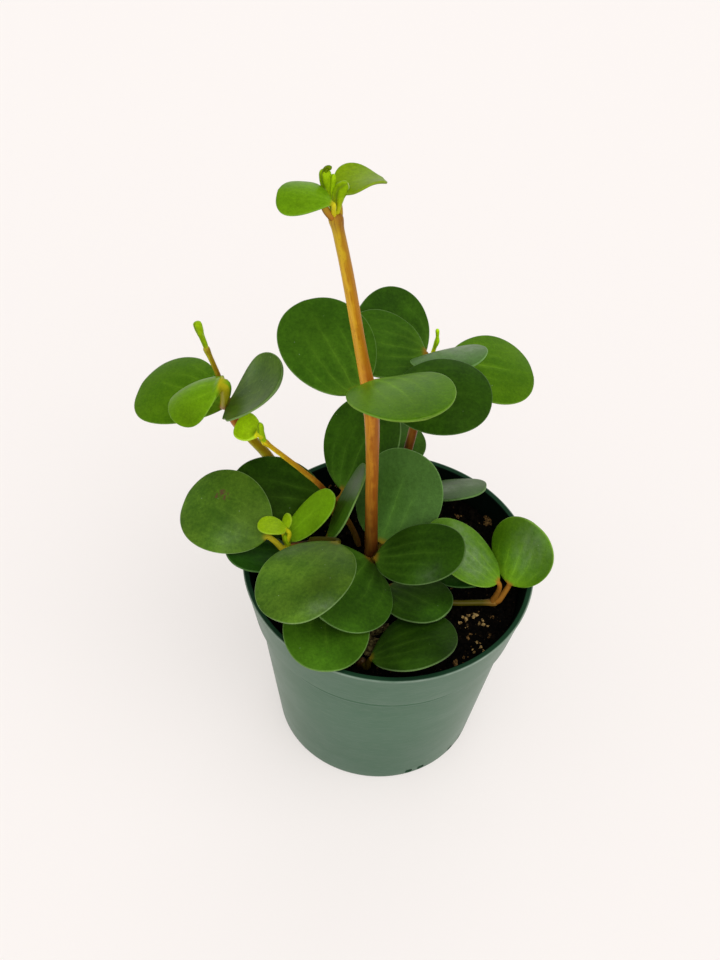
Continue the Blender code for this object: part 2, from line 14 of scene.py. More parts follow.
import bpy
import numpy as np
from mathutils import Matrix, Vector

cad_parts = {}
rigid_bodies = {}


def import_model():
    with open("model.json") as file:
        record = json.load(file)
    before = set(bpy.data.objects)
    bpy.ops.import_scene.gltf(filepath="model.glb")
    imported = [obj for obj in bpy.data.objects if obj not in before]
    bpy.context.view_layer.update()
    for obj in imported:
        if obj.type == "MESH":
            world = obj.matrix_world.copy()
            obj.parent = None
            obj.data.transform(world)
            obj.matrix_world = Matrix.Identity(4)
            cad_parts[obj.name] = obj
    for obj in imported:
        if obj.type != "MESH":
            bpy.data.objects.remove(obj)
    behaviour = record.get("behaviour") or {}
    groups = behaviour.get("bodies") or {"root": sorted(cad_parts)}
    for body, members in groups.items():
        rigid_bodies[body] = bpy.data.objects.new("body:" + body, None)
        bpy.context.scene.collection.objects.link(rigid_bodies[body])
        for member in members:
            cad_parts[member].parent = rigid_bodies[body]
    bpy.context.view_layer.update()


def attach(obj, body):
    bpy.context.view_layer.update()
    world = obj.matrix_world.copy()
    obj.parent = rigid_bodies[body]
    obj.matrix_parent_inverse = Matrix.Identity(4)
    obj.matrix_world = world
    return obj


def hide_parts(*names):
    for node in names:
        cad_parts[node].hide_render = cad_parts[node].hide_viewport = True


log = logging.getLogger("peperomia")

Colour = tuple[float, float, float]
Point = tuple[float, float, float]
Knot = tuple[float, float, float, float]
Span = tuple[float, float]
Numbers = float | np.ndarray
Traits = dict[str, np.ndarray]

METRES_PER_MM = 0.001
WHITE: Colour = (1.0, 1.0, 1.0)
LATTICE_SIDE = 256


def unit(vector: np.ndarray) -> np.ndarray:
    """Return the vector at length one."""
    return np.asarray(vector, float) / np.linalg.norm(vector)


def smooth_step(value: np.ndarray, low: float, high: float) -> np.ndarray:
    """Return 0 below low and 1 above high, and 3t^2 - 2t^3 between them."""
    share = np.clip((value - low) / (high - low), 0, 1)
    return share * share * (3 - 2 * share)


def fading(distance: np.ndarray, reach: float) -> np.ndarray:
    """Return exp(-(distance / reach)^2), which is 1 at no distance and near 0 at twice the reach."""
    return np.exp(-(distance / reach)**2)


def full_turn(count: int) -> np.ndarray:
    """Return angles spread evenly round a full turn, from 0."""
    return np.linspace(0, 2 * math.pi, count, endpoint=False)


def unit_rows(rows: np.ndarray) -> np.ndarray:
    """Return every row at length one."""
    return rows / np.linalg.norm(rows, axis=1, keepdims=True)


def smooth_path(knots: np.ndarray | tuple[Knot, ...], per_span: int) -> np.ndarray:
    """Carry rows of numbers along a smooth curve through every knot.

    Between two knots b and c, with a before and d after, the Catmull-Rom cubic is half of
    2b + (c - a)t + (2a - 5b + 4c - d)t^2 + (3b - a - 3c + d)t^3.

    Args:
        knots: the rows to pass through, such as x, y, z and radius.
        per_span: how many steps each span between two knots takes.

    Returns:
        The rows along the curve, the last knot included.
    """
    knots = np.asarray(knots, float)
    guide = np.vstack([2 * knots[0] - knots[1], knots, 2 * knots[-1] - knots[-2]])
    t = (np.arange(per_span) / per_span)[None, :, None]
    a, b, c, d = (guide[step:step + len(knots) - 1, None] for step in range(4))
    rows = (2 * b + (c - a) * t + (2 * a - 5 * b + 4 * c - d) * t**2 + (3 * b - a - 3 * c + d) * t**3) / 2
    return np.vstack([rows.reshape(-1, knots.shape[1]), knots[-1]])


def tube(centres: np.ndarray, across: np.ndarray, above: np.ndarray, radii: np.ndarray) -> np.ndarray:
    """Carry a circle along a path.

    A point of a ring is the ring's centre plus its radius there times (cos a across + sin a above).

    Args:
        centres: the rings' middles, one row a ring.
        across: each ring's direction, square to the path, in which the angle a is 0.
        above: each ring's direction, square to both, in which a is a quarter turn.
        radii: the radii, as (ring, place round the ring).

    Returns:
        The points as (ring, place round the ring, 3).
    """
    turn = full_turn(radii.shape[1])[None, :, None]
    circle = np.cos(turn) * across[:, None] + np.sin(turn) * above[:, None]
    return centres[:, None] + radii[..., None] * circle


def trait_rows(shape: tuple[int, ...], first: Numbers, second: Numbers = 0.0,
               third: Numbers = 0.0) -> np.ndarray:
    """Put three numbers, or arrays that fit the shape, side by side at its every point."""
    return np.stack([np.broadcast_to(part, shape) for part in (first, second, third)], axis=-1)


def rolling(x: np.ndarray, y: np.ndarray, size: float, seed: int) -> np.ndarray:
    """Return smooth random heights from -1 to 1 over a plane.

    Each corner of a square lattice has a seeded random height, and a point inside a square
    blends its four corners by 3t^2 - 2t^3 along each side.

    Args:
        x: places along X, in millimetres.
        y: places along Y, in millimetres.
        size: side of a lattice square, in millimetres.
        seed: picks the heights.

    Returns:
        One height for each place.
    """
    lattice = np.random.default_rng(seed).uniform(-1, 1, (LATTICE_SIDE, LATTICE_SIDE))
    column, row = np.floor(x / size).astype(int), np.floor(y / size).astype(int)
    across, along = smooth_step(x / size - column, 0, 1), smooth_step(y / size - row, 0, 1)
    left, right = column % LATTICE_SIDE, (column + 1) % LATTICE_SIDE
    low, high = row % LATTICE_SIDE, (row + 1) % LATTICE_SIDE
    near = lattice[left, low] * (1 - across) + lattice[right, low] * across
    far = lattice[left, high] * (1 - across) + lattice[right, high] * across
    return near * (1 - along) + far * along


@dataclass
class Skin:
    """A closed skin over rings of points, with a pole at each end.

    rings: points as (ring, place round the ring, 3), in millimetres
    traits: vectors kept at the points for the materials, each as (ring, place, 3)
    """

    rings: np.ndarray
    traits: Traits = field(default_factory=dict)

    def points(self) -> np.ndarray:
        """Return every ring's points in order, then the two poles, each the middle of its end ring."""
        poles = self.rings[[0, -1]].mean(axis=1)
        return np.concatenate([self.rings.reshape(-1, 3), poles])

    def trait(self, name: str) -> np.ndarray:
        """Return one trait at every point, with an end ring's mean at its pole."""
        values = self.traits[name]
        return np.concatenate([values.reshape(-1, 3), values[[0, -1]].mean(axis=1)])

    def faces(self) -> list[np.ndarray]:
        """Join the rings by quads and each end ring to its pole by triangles, facing outwards.

        Returns:
            The quads and the triangles as rows of point numbers. Where the signed volume, a sixth
            of the sum of a . (b x c) over all triangles, is below zero, every face is reversed.
        """
        count, around = self.rings.shape[:2]
        place = np.arange(count * around).reshape(count, around)
        ahead = np.roll(place, -1, axis=1)
        quads = np.stack([place[:-1], ahead[:-1], ahead[1:], place[1:]], axis=-1).reshape(-1, 4)
        first_pole = np.full(around, count * around)
        first = np.stack([ahead[0], place[0], first_pole], axis=-1)
        last = np.stack([place[-1], ahead[-1], first_pole + 1], axis=-1)
        ends = np.concatenate([first, last])
        points = self.points() - self.points().mean(axis=0)
        triangles = np.concatenate([quads[:, :3], quads[:, [0, 2, 3]], ends])
        a, b, c = (points[triangles[:, corner]] for corner in range(3))
        if np.einsum("ij,ij->i", a, np.cross(b, c)).sum() < 0:
            quads, ends = quads[:, ::-1], ends[:, ::-1]
        return [quads, ends]


def keep_traits(mesh: bpy.types.Mesh, traits: Traits) -> None:
    """Keep vectors for the materials at a mesh's points.

    Args:
        mesh: the mesh.
        traits: the vectors by name, one row a point.
    """
    for label, rows in traits.items():
        kept = mesh.attributes.new(label, "FLOAT_VECTOR", "POINT")
        kept.data.foreach_set("vector", rows.astype(np.float32).ravel())


def make_mesh(name: str, points: np.ndarray, faces: list[np.ndarray], traits: Traits) -> bpy.types.Mesh:
    """Put points, faces and traits into a Blender mesh.

    Args:
        name: the mesh's name.
        points: places in millimetres.
        faces: groups of faces with the same number of corners, as rows of point numbers.
        traits: vectors for the materials, one row a point.

    Returns:
        The mesh, in metres and shaded smooth.
    """
    corners = np.concatenate([group.ravel() for group in faces])
    sizes = np.concatenate([np.full(len(group), group.shape[1]) for group in faces])
    mesh = bpy.data.meshes.new(name)
    mesh.vertices.add(len(points))
    mesh.vertices.foreach_set("co", (points * METRES_PER_MM).astype(np.float32).ravel())
    mesh.loops.add(len(corners))
    mesh.loops.foreach_set("vertex_index", corners.astype(np.int32))
    mesh.polygons.add(len(sizes))
    mesh.polygons.foreach_set("loop_start", (np.cumsum(sizes) - sizes).astype(np.int32))
    mesh.update(calc_edges=True)
    mesh.validate()
    keep_traits(mesh, traits)
    mesh.shade_smooth()
    return mesh


def join_skins(name: str, skins: list[Skin]) -> bpy.types.Mesh:
    """Put several closed skins with the same traits into one mesh.

    Args:
        name: the mesh's name.
        skins: the skins, in millimetres.

    Returns:
        The mesh, in metres and shaded smooth.
    """
    points, faces, first = [], [], 0
    for skin in skins:
        points.append(skin.points())
        faces.extend(group + first for group in skin.faces())
        first += len(points[-1])
    traits = {label: np.concatenate([skin.trait(label) for skin in skins]) for label in skins[0].traits}
    return make_mesh(name, np.concatenate(points), faces, traits)


def place_piece(name: str, mesh: bpy.types.Mesh, material: bpy.types.Material, slot: str,
                *nodes: str) -> None:
    """Link a finished mesh as a piece of the object, which rides on the model's one body.

    Args:
        name: the piece's name.
        mesh: its mesh, in place.
        material: its finish.
        slot: the record's material slot that it belongs to; not used.
        *nodes: the CAD nodes that it stands for.
    """
    mesh.materials.clear()
    mesh.materials.append(material)
    piece = bpy.data.objects.new(name, mesh)
    bpy.context.scene.collection.objects.link(piece)
    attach(piece, "root")
    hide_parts(*nodes)
    log.info("%s: %d faces, stands for %s", name, len(mesh.polygons), ", ".join(nodes) or "no node")


@dataclass(frozen=True)
class Wire:
    """A number or vector on a socket. Python's operators on it add the nodes that work it out."""

    board: "Board"
    socket: bpy.types.NodeSocket

    def __add__(self, other: "Feed") -> "Wire":
        """Add."""
        return self.board.maths("ADD", self, other)

    def __sub__(self, other: "Feed") -> "Wire":
        """Take away."""
        return self.board.maths("SUBTRACT", self, other)

    def __rsub__(self, other: "Feed") -> "Wire":
        """Take this from the other."""
        return self.board.maths("SUBTRACT", other, self)

    def __mul__(self, other: "Feed") -> "Wire":
        """Multiply."""
        return self.board.maths("MULTIPLY", self, other)

    def __abs__(self) -> "Wire":
        """Drop the sign."""
        return self.board.maths("ABSOLUTE", self)

    __radd__ = __add__
    __rmul__ = __mul__

    def most(self, other: "Feed") -> "Wire":
        """Return the larger of the two."""
        return self.board.maths("MAXIMUM", self, other)

    def least(self, other: "Feed") -> "Wire":
        """Return the smaller of the two."""
        return self.board.maths("MINIMUM", self, other)

    def rise(self, low: float, high: float) -> "Wire":
        """Return 0 below low and 1 above high, with a smooth step between; a high below low turns it."""
        limits = {"Value": self, "From Min": low, "From Max": high}
        return self.board.node("ShaderNodeMapRange", {"interpolation_type": "SMOOTHSTEP"}, limits).out(0)


Feed = Wire | float | Colour


@dataclass(frozen=True)
class Made:
    """A node that has been added to a board."""

    board: "Board"
    node: bpy.types.Node

    def out(self, socket: int | str) -> Wire:
        """Return one of the node's outputs."""
        return Wire(self.board, self.node.outputs[socket])


class Board:
    """A material's nodes, added through one method, and the Principled shader that they feed."""

    def __init__(self, name: str) -> None:
        """Start a material whose Principled shader is linked to its output.

        Args:
            name: the material's name.
        """
        self.material = bpy.data.materials.new(name)
        self.material.use_nodes = True
        self.tree = self.material.node_tree
        self.shader = self.tree.nodes["Principled BSDF"]

    def feed(self, socket: bpy.types.NodeSocket, value: Feed) -> None:
        """Link a wire to a socket, or set the socket to a number or a colour.

        Args:
            socket: the node's input.
            value: what it gets.
        """
        if isinstance(value, Wire):
            self.tree.links.new(value.socket, socket)
        elif isinstance(value, tuple) and socket.type == "RGBA":
            socket.default_value = (*value, 1.0)
        else:
            socket.default_value = value

    def node(self, kind: str, settings: dict[str, object] | None = None,
             sockets: dict[str | int, Feed] | None = None) -> Made:
        """Add any node.

        Args:
            kind: the node's type.
            settings: its settings, set first; "stops" fills a ramp with (place, colour) pairs.
            sockets: what feeds its inputs, by name or number.

        Returns:
            The node, ready to read outputs from.
        """
        made = self.tree.nodes.new(kind)
        for label, setting in (settings or {}).items():
            if label == "stops":
                for number, (place, colour) in enumerate(setting):
                    stops = made.color_ramp.elements
                    stop = stops[number] if number < 2 else stops.new(place)
                    stop.position, stop.color = place, (*colour, 1.0)
            else:
                setattr(made, label, setting)
        for label, value in (sockets or {}).items():
            self.feed(made.inputs[label], value)
        return Made(self, made)

    def maths(self, operation: str, *values: Feed) -> Wire:
        """Return the result of a Math node."""
        return self.node("ShaderNodeMath", {"operation": operation}, dict(enumerate(values))).out(0)

    def mix(self, share: Feed, first: Feed, second: Feed) -> Wire:
        """Return the first colour where share is 0 and the second where it is 1."""
        return self.node("ShaderNodeMix", {"data_type": "RGBA"}, {0: share, 6: first, 7: second}).out(2)

    def ramp(self, share: Wire, stops: tuple[tuple[float, Colour], ...]) -> Wire:
        """Return a colour that runs through the stops as share goes from 0 to 1."""
        return self.node("ShaderNodeValToRGB", {"stops": stops}, {0: share}).out(0)

    def vector(self, operation: str, first: Wire, second: Point) -> Wire:
        """Return the vector result of a Vector Math node."""
        return self.node("ShaderNodeVectorMath", {"operation": operation}, {0: first, 1: second}).out(0)

    def scale(self, vector: Wire, factor: Wire) -> Wire:
        """Return a colour or vector made brighter or longer by a factor."""
        return self.node("ShaderNodeVectorMath", {"operation": "SCALE"}, {0: vector, 3: factor}).out(0)

    def place(self) -> Wire:
        """Return the place on the object, in millimetres."""
        inside = self.node("ShaderNodeTexCoord").out("Object")
        return self.vector("MULTIPLY", inside, (1 / METRES_PER_MM,) * 3)

    def kept_vector(self, name: str) -> Wire:
        """Return a trait kept at the mesh's points as one vector."""
        return self.node("ShaderNodeAttribute", {"attribute_name": name}).out("Vector")

    def trait(self, name: str) -> tuple[Wire, Wire, Wire]:
        """Return the three numbers of a trait kept at the mesh's points."""
        parts = self.node("ShaderNodeSeparateXYZ", None, {0: self.kept_vector(name)})
        return parts.out(0), parts.out(1), parts.out(2)

    def noise(self, place: Wire, size: float, detail: float = 2.0) -> Wire:
        """Return smooth noise from 0 to 1 whose blotches are about size across."""
        sockets = {"Vector": place, "Scale": 1 / size, "Detail": detail}
        return self.node("ShaderNodeTexNoise", None, sockets).out(0)

    def specks(self, place: Wire, spacing: float, radius: float, share: float) -> Wire:
        """Return 1 on small round specks.

        Args:
            place: where the point is, in millimetres.
            spacing: how far apart the cells are that can hold a speck.
            radius: how large a speck is.
            share: how many of the cells hold one.

        Returns:
            1 on a speck and 0 off it.
        """
        cells = self.node("ShaderNodeTexVoronoi", None, {"Vector": place, "Scale": 1 / spacing})
        chance = self.node("ShaderNodeSeparateColor", None, {0: cells.out("Color")}).out(0)
        near = cells.out("Distance").rise(radius / spacing, radius / spacing * 0.5)
        return near * chance.rise(1 - share, 1 - share + 0.01)

    def finish(self, colour: Wire, roughness: Feed, height: Wire, depth: float, gloss: float,
               tint: Colour = WHITE, sheen: float = 0.0) -> bpy.types.Material:
        """Feed the shader.

        Args:
            colour: the base colour.
            roughness: the roughness.
            height: the relief, from 0 to 1.
            depth: how deep the relief is, in millimetres.
            gloss: the specular level, the same all over.
            tint: the colour of the gloss.
            sheen: how much dusty sheen the edges of a round form show.

        Returns:
            The finished material.
        """
        self.feed(self.shader.inputs["Base Color"], colour)
        self.feed(self.shader.inputs["Roughness"], roughness)
        self.feed(self.shader.inputs["Specular IOR Level"], gloss)
        self.feed(self.shader.inputs["Specular Tint"], tint)
        self.feed(self.shader.inputs["Sheen Weight"], sheen)
        sockets = {"Height": height, "Strength": 1.0, "Distance": depth * METRES_PER_MM}
        bump = self.node("ShaderNodeBump", None, sockets)
        self.feed(self.shader.inputs["Normal"], bump.out(0))
        return self.material


@dataclass(frozen=True)
class LeafFinish:
    """The skin of a leaf: a satin green with pale veins, a thin pale margin and a coloured stalk."""

    deep: Colour
    body: Colour
    vein: Colour
    margin: Colour
    under: Colour
    stalk: Colour = (0.30, 0.20, 0.012)
    stalk_red: Colour = (0.32, 0.085, 0.018)
    corky: Colour = (0.085, 0.045, 0.022)
    dust: Colour = (0.45, 0.50, 0.38)
    # A pale grey-green that paints sheen, a soft reflection, on leaves, and paints a bud's pale point
    sheen_and_pale: Colour = (0.20, 0.25, 0.17)
    veins: float = 0.5
    speckle: float = 0.09
    roughness: float = 0.36
    gloss: float = 0.045
    tint: Colour = (0.8, 1.0, 0.25)

    # Each side vein's place across the half-blade, with its strength
    SIDE_VEINS: ClassVar[tuple[Span, ...]] = ((0.36, 0.8), (0.70, 0.5))
    # How far a vein's line and its halo reach to each side, in millimetres
    MIDRIB_REACH: ClassVar[Span] = (0.45, 2.0)
    SIDE_REACH: ClassVar[Span] = (0.38, 1.7)

    @staticmethod
    def line(gap: Wire, narrow: float, wide: float) -> Wire:
        """Return 1 in the middle of a narrow line in a wide soft halo, and 0 beside it."""
        return gap.rise(narrow, 0.0) * 0.5 + gap.rise(wide, 0.0) * 0.5

    def veining(self, along: Wire, across: Wire, half: Wire, wander: Wire) -> Wire:
        """Return 1 on the midrib and the side veins that arch from the stalk to the tip.

        A vein is a narrow line in a wide soft halo, and it fades out along the blade.

        Args:
            along: the share along the blade.
            across: the share across the half-blade.
            half: the half-width, in millimetres.
            wander: how far the veins stray, in millimetres.

        Returns:
            How much of a vein each point shows.
        """
        gap = abs(across * half + wander * 0.5)
        vein = self.line(gap, *self.MIDRIB_REACH) * along.rise(1.0, 0.35)
        for centre, strength in self.SIDE_VEINS:
            gap = abs((abs(across) - centre) * half + wander)
            vein = vein.most(self.line(gap, *self.SIDE_REACH) * strength * along.rise(0.85, 0.25))
        return vein

    def dress(self, name: str) -> bpy.types.Material:
        """Build the material.

        A leaf's points keep four traits. "blade" is the share along the blade, the share across
        its half-width, and the half-width. "edge" is how far the margin is, how far the nearest
        scar is, and 1 underneath. "join" is 1 on the stalk and how red the stalk is. "shade" is
        the leaf's brightness there, its own tone together with painted light and shade, and how
        much painted sheen it has.

        Args:
            name: the material's name.

        Returns:
            The material.
        """
        board = Board(name)
        place = board.place()
        along, across, half = board.trait("blade")
        rim, scar, under = board.trait("edge")
        stalk, red, _ = board.trait("join")
        light, sheen_and_pale, _ = board.trait("shade")
        cloud = board.noise(place, 12.0, 1.0)
        mottle = board.noise(place, 3.5, 3.0)
        fine = board.noise(place, 1.1, 3.0)
        wander = (board.noise(place, 7.0, 1.0) - 0.5) * 2.4
        vein = self.veining(along, across, half, wander)
        vein = vein * (mottle.rise(0.20, 0.70) * 0.5 + 0.5) * self.veins
        grain = board.noise(place, 0.45, 2.0)
        tones = (cloud * 0.5 + mottle * 0.25 + fine * 0.25).rise(0.30, 0.68)
        colour = board.mix(tones, self.deep, self.body)
        colour = board.mix(vein, colour, self.vein)
        colour = board.mix(along.rise(0.22, 0.0) * 0.40, colour, self.vein)
        # Painted sheen: a pale grey-green laid on in streaky patches, standing in for a soft reflection
        streaks = board.noise(board.vector("MULTIPLY", place, (1.0, 1.0, 0.5)), 2.2, 4.0)
        colour = board.mix(sheen_and_pale * (streaks.rise(0.30, 0.70) * 0.6 + 0.4), colour, self.sheen_and_pale)
        colour = board.mix(under * 0.85, colour, self.under)
        colour = board.mix(rim.rise(0.36, 0.08) * 0.55, colour, self.margin)
        colour = board.scale(colour, fine * 0.36 + grain * 0.50 + 0.57)
        spoiled = (scar + (fine - 0.5) * 4.2 + (grain - 0.5) * 2.0).rise(1.25, 0.6)
        colour = board.mix(spoiled * 0.9, colour, self.corky)
        specks = board.specks(place, 2.0, 0.16, self.speckle) * (1 - under)
        colour = board.mix(specks * 0.55, colour, self.dust)
        stem_colour = board.mix(red, self.stalk, self.stalk_red)
        colour = board.mix(stalk * (fine * 0.3 + 0.75), colour, stem_colour)
        # Brightness from the "shade" trait: the leaf's own tone together with painted light and shade
        colour = board.scale(colour, light)
        relief = (1 - vein) * 0.5 + fine * 0.22 + grain * 0.16
        roughness = self.roughness + (cloud - 0.5) * 0.16 + vein * 0.06 + under * 0.15 + spoiled * 0.2
        return board.finish(colour, roughness, relief, 0.16, self.gloss, self.tint)


class Tone(Enum):
    """How old and how bright a leaf is."""

    SHADED = LeafFinish(deep=(0.009, 0.046, 0.003), body=(0.018, 0.078, 0.004), vein=(0.05, 0.16, 0.012),
                        margin=(0.10, 0.22, 0.06), under=(0.08, 0.15, 0.04))
    DEEP = LeafFinish(deep=(0.017, 0.052, 0.004), body=(0.032, 0.092, 0.005), vein=(0.085, 0.20, 0.016),
                      margin=(0.16, 0.27, 0.09), under=(0.10, 0.17, 0.05))
    MIDDLE = LeafFinish(deep=(0.026, 0.078, 0.004), body=(0.045, 0.122, 0.006), vein=(0.105, 0.23, 0.014),
                        margin=(0.17, 0.29, 0.08), under=(0.12, 0.20, 0.05))
    BLUISH = LeafFinish(deep=(0.036, 0.092, 0.012), body=(0.052, 0.125, 0.020), vein=(0.10, 0.23, 0.03),
                        margin=(0.16, 0.30, 0.09), under=(0.12, 0.20, 0.06), roughness=0.42, gloss=0.11,
                        tint=(0.9, 1.0, 0.8))
    WAXY = LeafFinish(deep=(0.030, 0.078, 0.005), body=(0.068, 0.138, 0.010), vein=(0.10, 0.19, 0.018),
                      margin=(0.18, 0.28, 0.10), under=(0.12, 0.19, 0.05), stalk=(0.42, 0.34, 0.012),
                      veins=0.40, speckle=0.22, roughness=0.40, gloss=0.08, tint=(0.9, 1.0, 0.55))
    FRESH = LeafFinish(deep=(0.052, 0.142, 0.003), body=(0.078, 0.182, 0.004), vein=(0.15, 0.31, 0.012),
                       margin=(0.20, 0.35, 0.05), under=(0.17, 0.26, 0.03), veins=0.7, roughness=0.34)
    YOUNG = LeafFinish(deep=(0.098, 0.222, 0.003), body=(0.128, 0.268, 0.004), vein=(0.20, 0.38, 0.012),
                       margin=(0.22, 0.40, 0.04), under=(0.26, 0.30, 0.02), stalk=(0.42, 0.36, 0.01),
                       veins=0.5, roughness=0.34)
    LIME = LeafFinish(deep=(0.22, 0.38, 0.003), body=(0.30, 0.48, 0.005), vein=(0.38, 0.54, 0.02),
                      margin=(0.36, 0.54, 0.04), under=(0.34, 0.46, 0.03), stalk=(0.55, 0.52, 0.01),
                      sheen_and_pale=(0.66, 0.70, 0.36), veins=0.35, roughness=0.38)


class Outline(Enum):
    """A blade's outline: its half-width grows as s^p from the stalk and closes as (1 - s)^q at the tip."""

    ROUND = (0.55, 0.45)
    BLUNT_ROUND = (0.45, 0.45)
    SHORT_ROUND = (0.5, 0.45)
    OBOVATE = (0.85, 0.42)
    WIDE_OBOVATE = (0.7, 0.42)
    FAN = (0.65, 0.5)
    ELLIPTIC = (0.6, 0.6)


# Each stem as knots of (x, y, z, radius), from below the soil up to its tip
STEM_KNOTS: dict[str, tuple[Knot, ...]] = {
    "tall": (
        (-6, -3, 64, 2.2), (-6, -3, 78, 2.2), (-6.3, -2, 88, 2.3), (-7.7, -2.3, 118, 2.1),
        (-8.4, -2.6, 136, 2.1), (-10.2, -3, 162, 2.4), (-14.4, -3, 185, 1.9),
        (-20, -3, 215.5, 1.8), (-23.6, -3, 233, 1.7),
    ),
    "left_middle": (
        (-10.5, 12.5, 64, 1.1), (-11.7, 13, 76, 1.1), (-16.2, 14.5, 86.3, 1.0), (-25, 12.5, 104, 0.95),
        (-31.5, 9, 115.5, 0.9), (-37, 6, 124.5, 0.85), (-44, 2, 136, 0.8),
    ),
    "left_rear": (
        (-25, 23, 65, 1.8), (-30, 24.5, 76.5, 1.8), (-38, 26, 88.4, 1.8), (-46, 25, 104.5, 1.8),
        (-51.5, 22.6, 115.2, 1.7), (-56.5, 20.8, 124.7, 1.7), (-59, 19.5, 134.5, 1.6),
        (-61.5, 19.6, 146, 0.9), (-65, 18.6, 159, 0.9),
    ),
    "back": (
        (1, 38, 66, 1.7), (1, 37.5, 78, 1.7), (2.5, 35.5, 100, 1.6), (4, 33, 117, 1.6),
        (5.5, 30.5, 138, 1.5), (7, 28.5, 154, 1.4),
    ),
    "left_low": (
        (-17, 9, 66, 1.3), (-17.5, 8, 77, 1.3), (-22, 3, 85, 1.3), (-28.5, -2, 91, 1.2),
        (-34.5, -6, 93, 1.3),
    ),
    "right": (
        (10, -7.3, 66, 1.2), (11.5, -8.2, 76.5, 1.1), (16.5, -11, 78.2, 1.1), (24, -11, 77.9, 1.05),
        (31, -10, 77.8, 1.05), (38, -9, 77.8, 1.1),
    ),
    "front": ((-21, -8, 66, 1.4), (-22, -7.5, 78, 1.4), (-23.8, -8, 88, 1.3), (-27, -11, 100, 1.2)),
    "front_low": ((-7, -40, 68, 1.2), (-6.5, -40, 77, 1.2), (-5.5, -40, 79, 1.1)),
}


@dataclass(frozen=True)
class BladeGrid:
    """The points of a blade.

    stations: each ring's share along the blade; turn: each place's angle round a ring
    widths: each ring's half-width, as one column
    """

    stations: np.ndarray
    turn: np.ndarray
    widths: np.ndarray

    def shape(self) -> tuple[int, int]:
        """Return how many rings there are and how many places round each."""
        return len(self.stations), len(self.turn)

    def offsets(self, spot: tuple[float, ...], length: float) -> tuple[np.ndarray, np.ndarray]:
        """Return how far each point is from a spot, along a blade of that length and across it."""
        return (self.stations[:, None] - spot[0]) * length, (np.cos(self.turn) - spot[1]) * self.widths


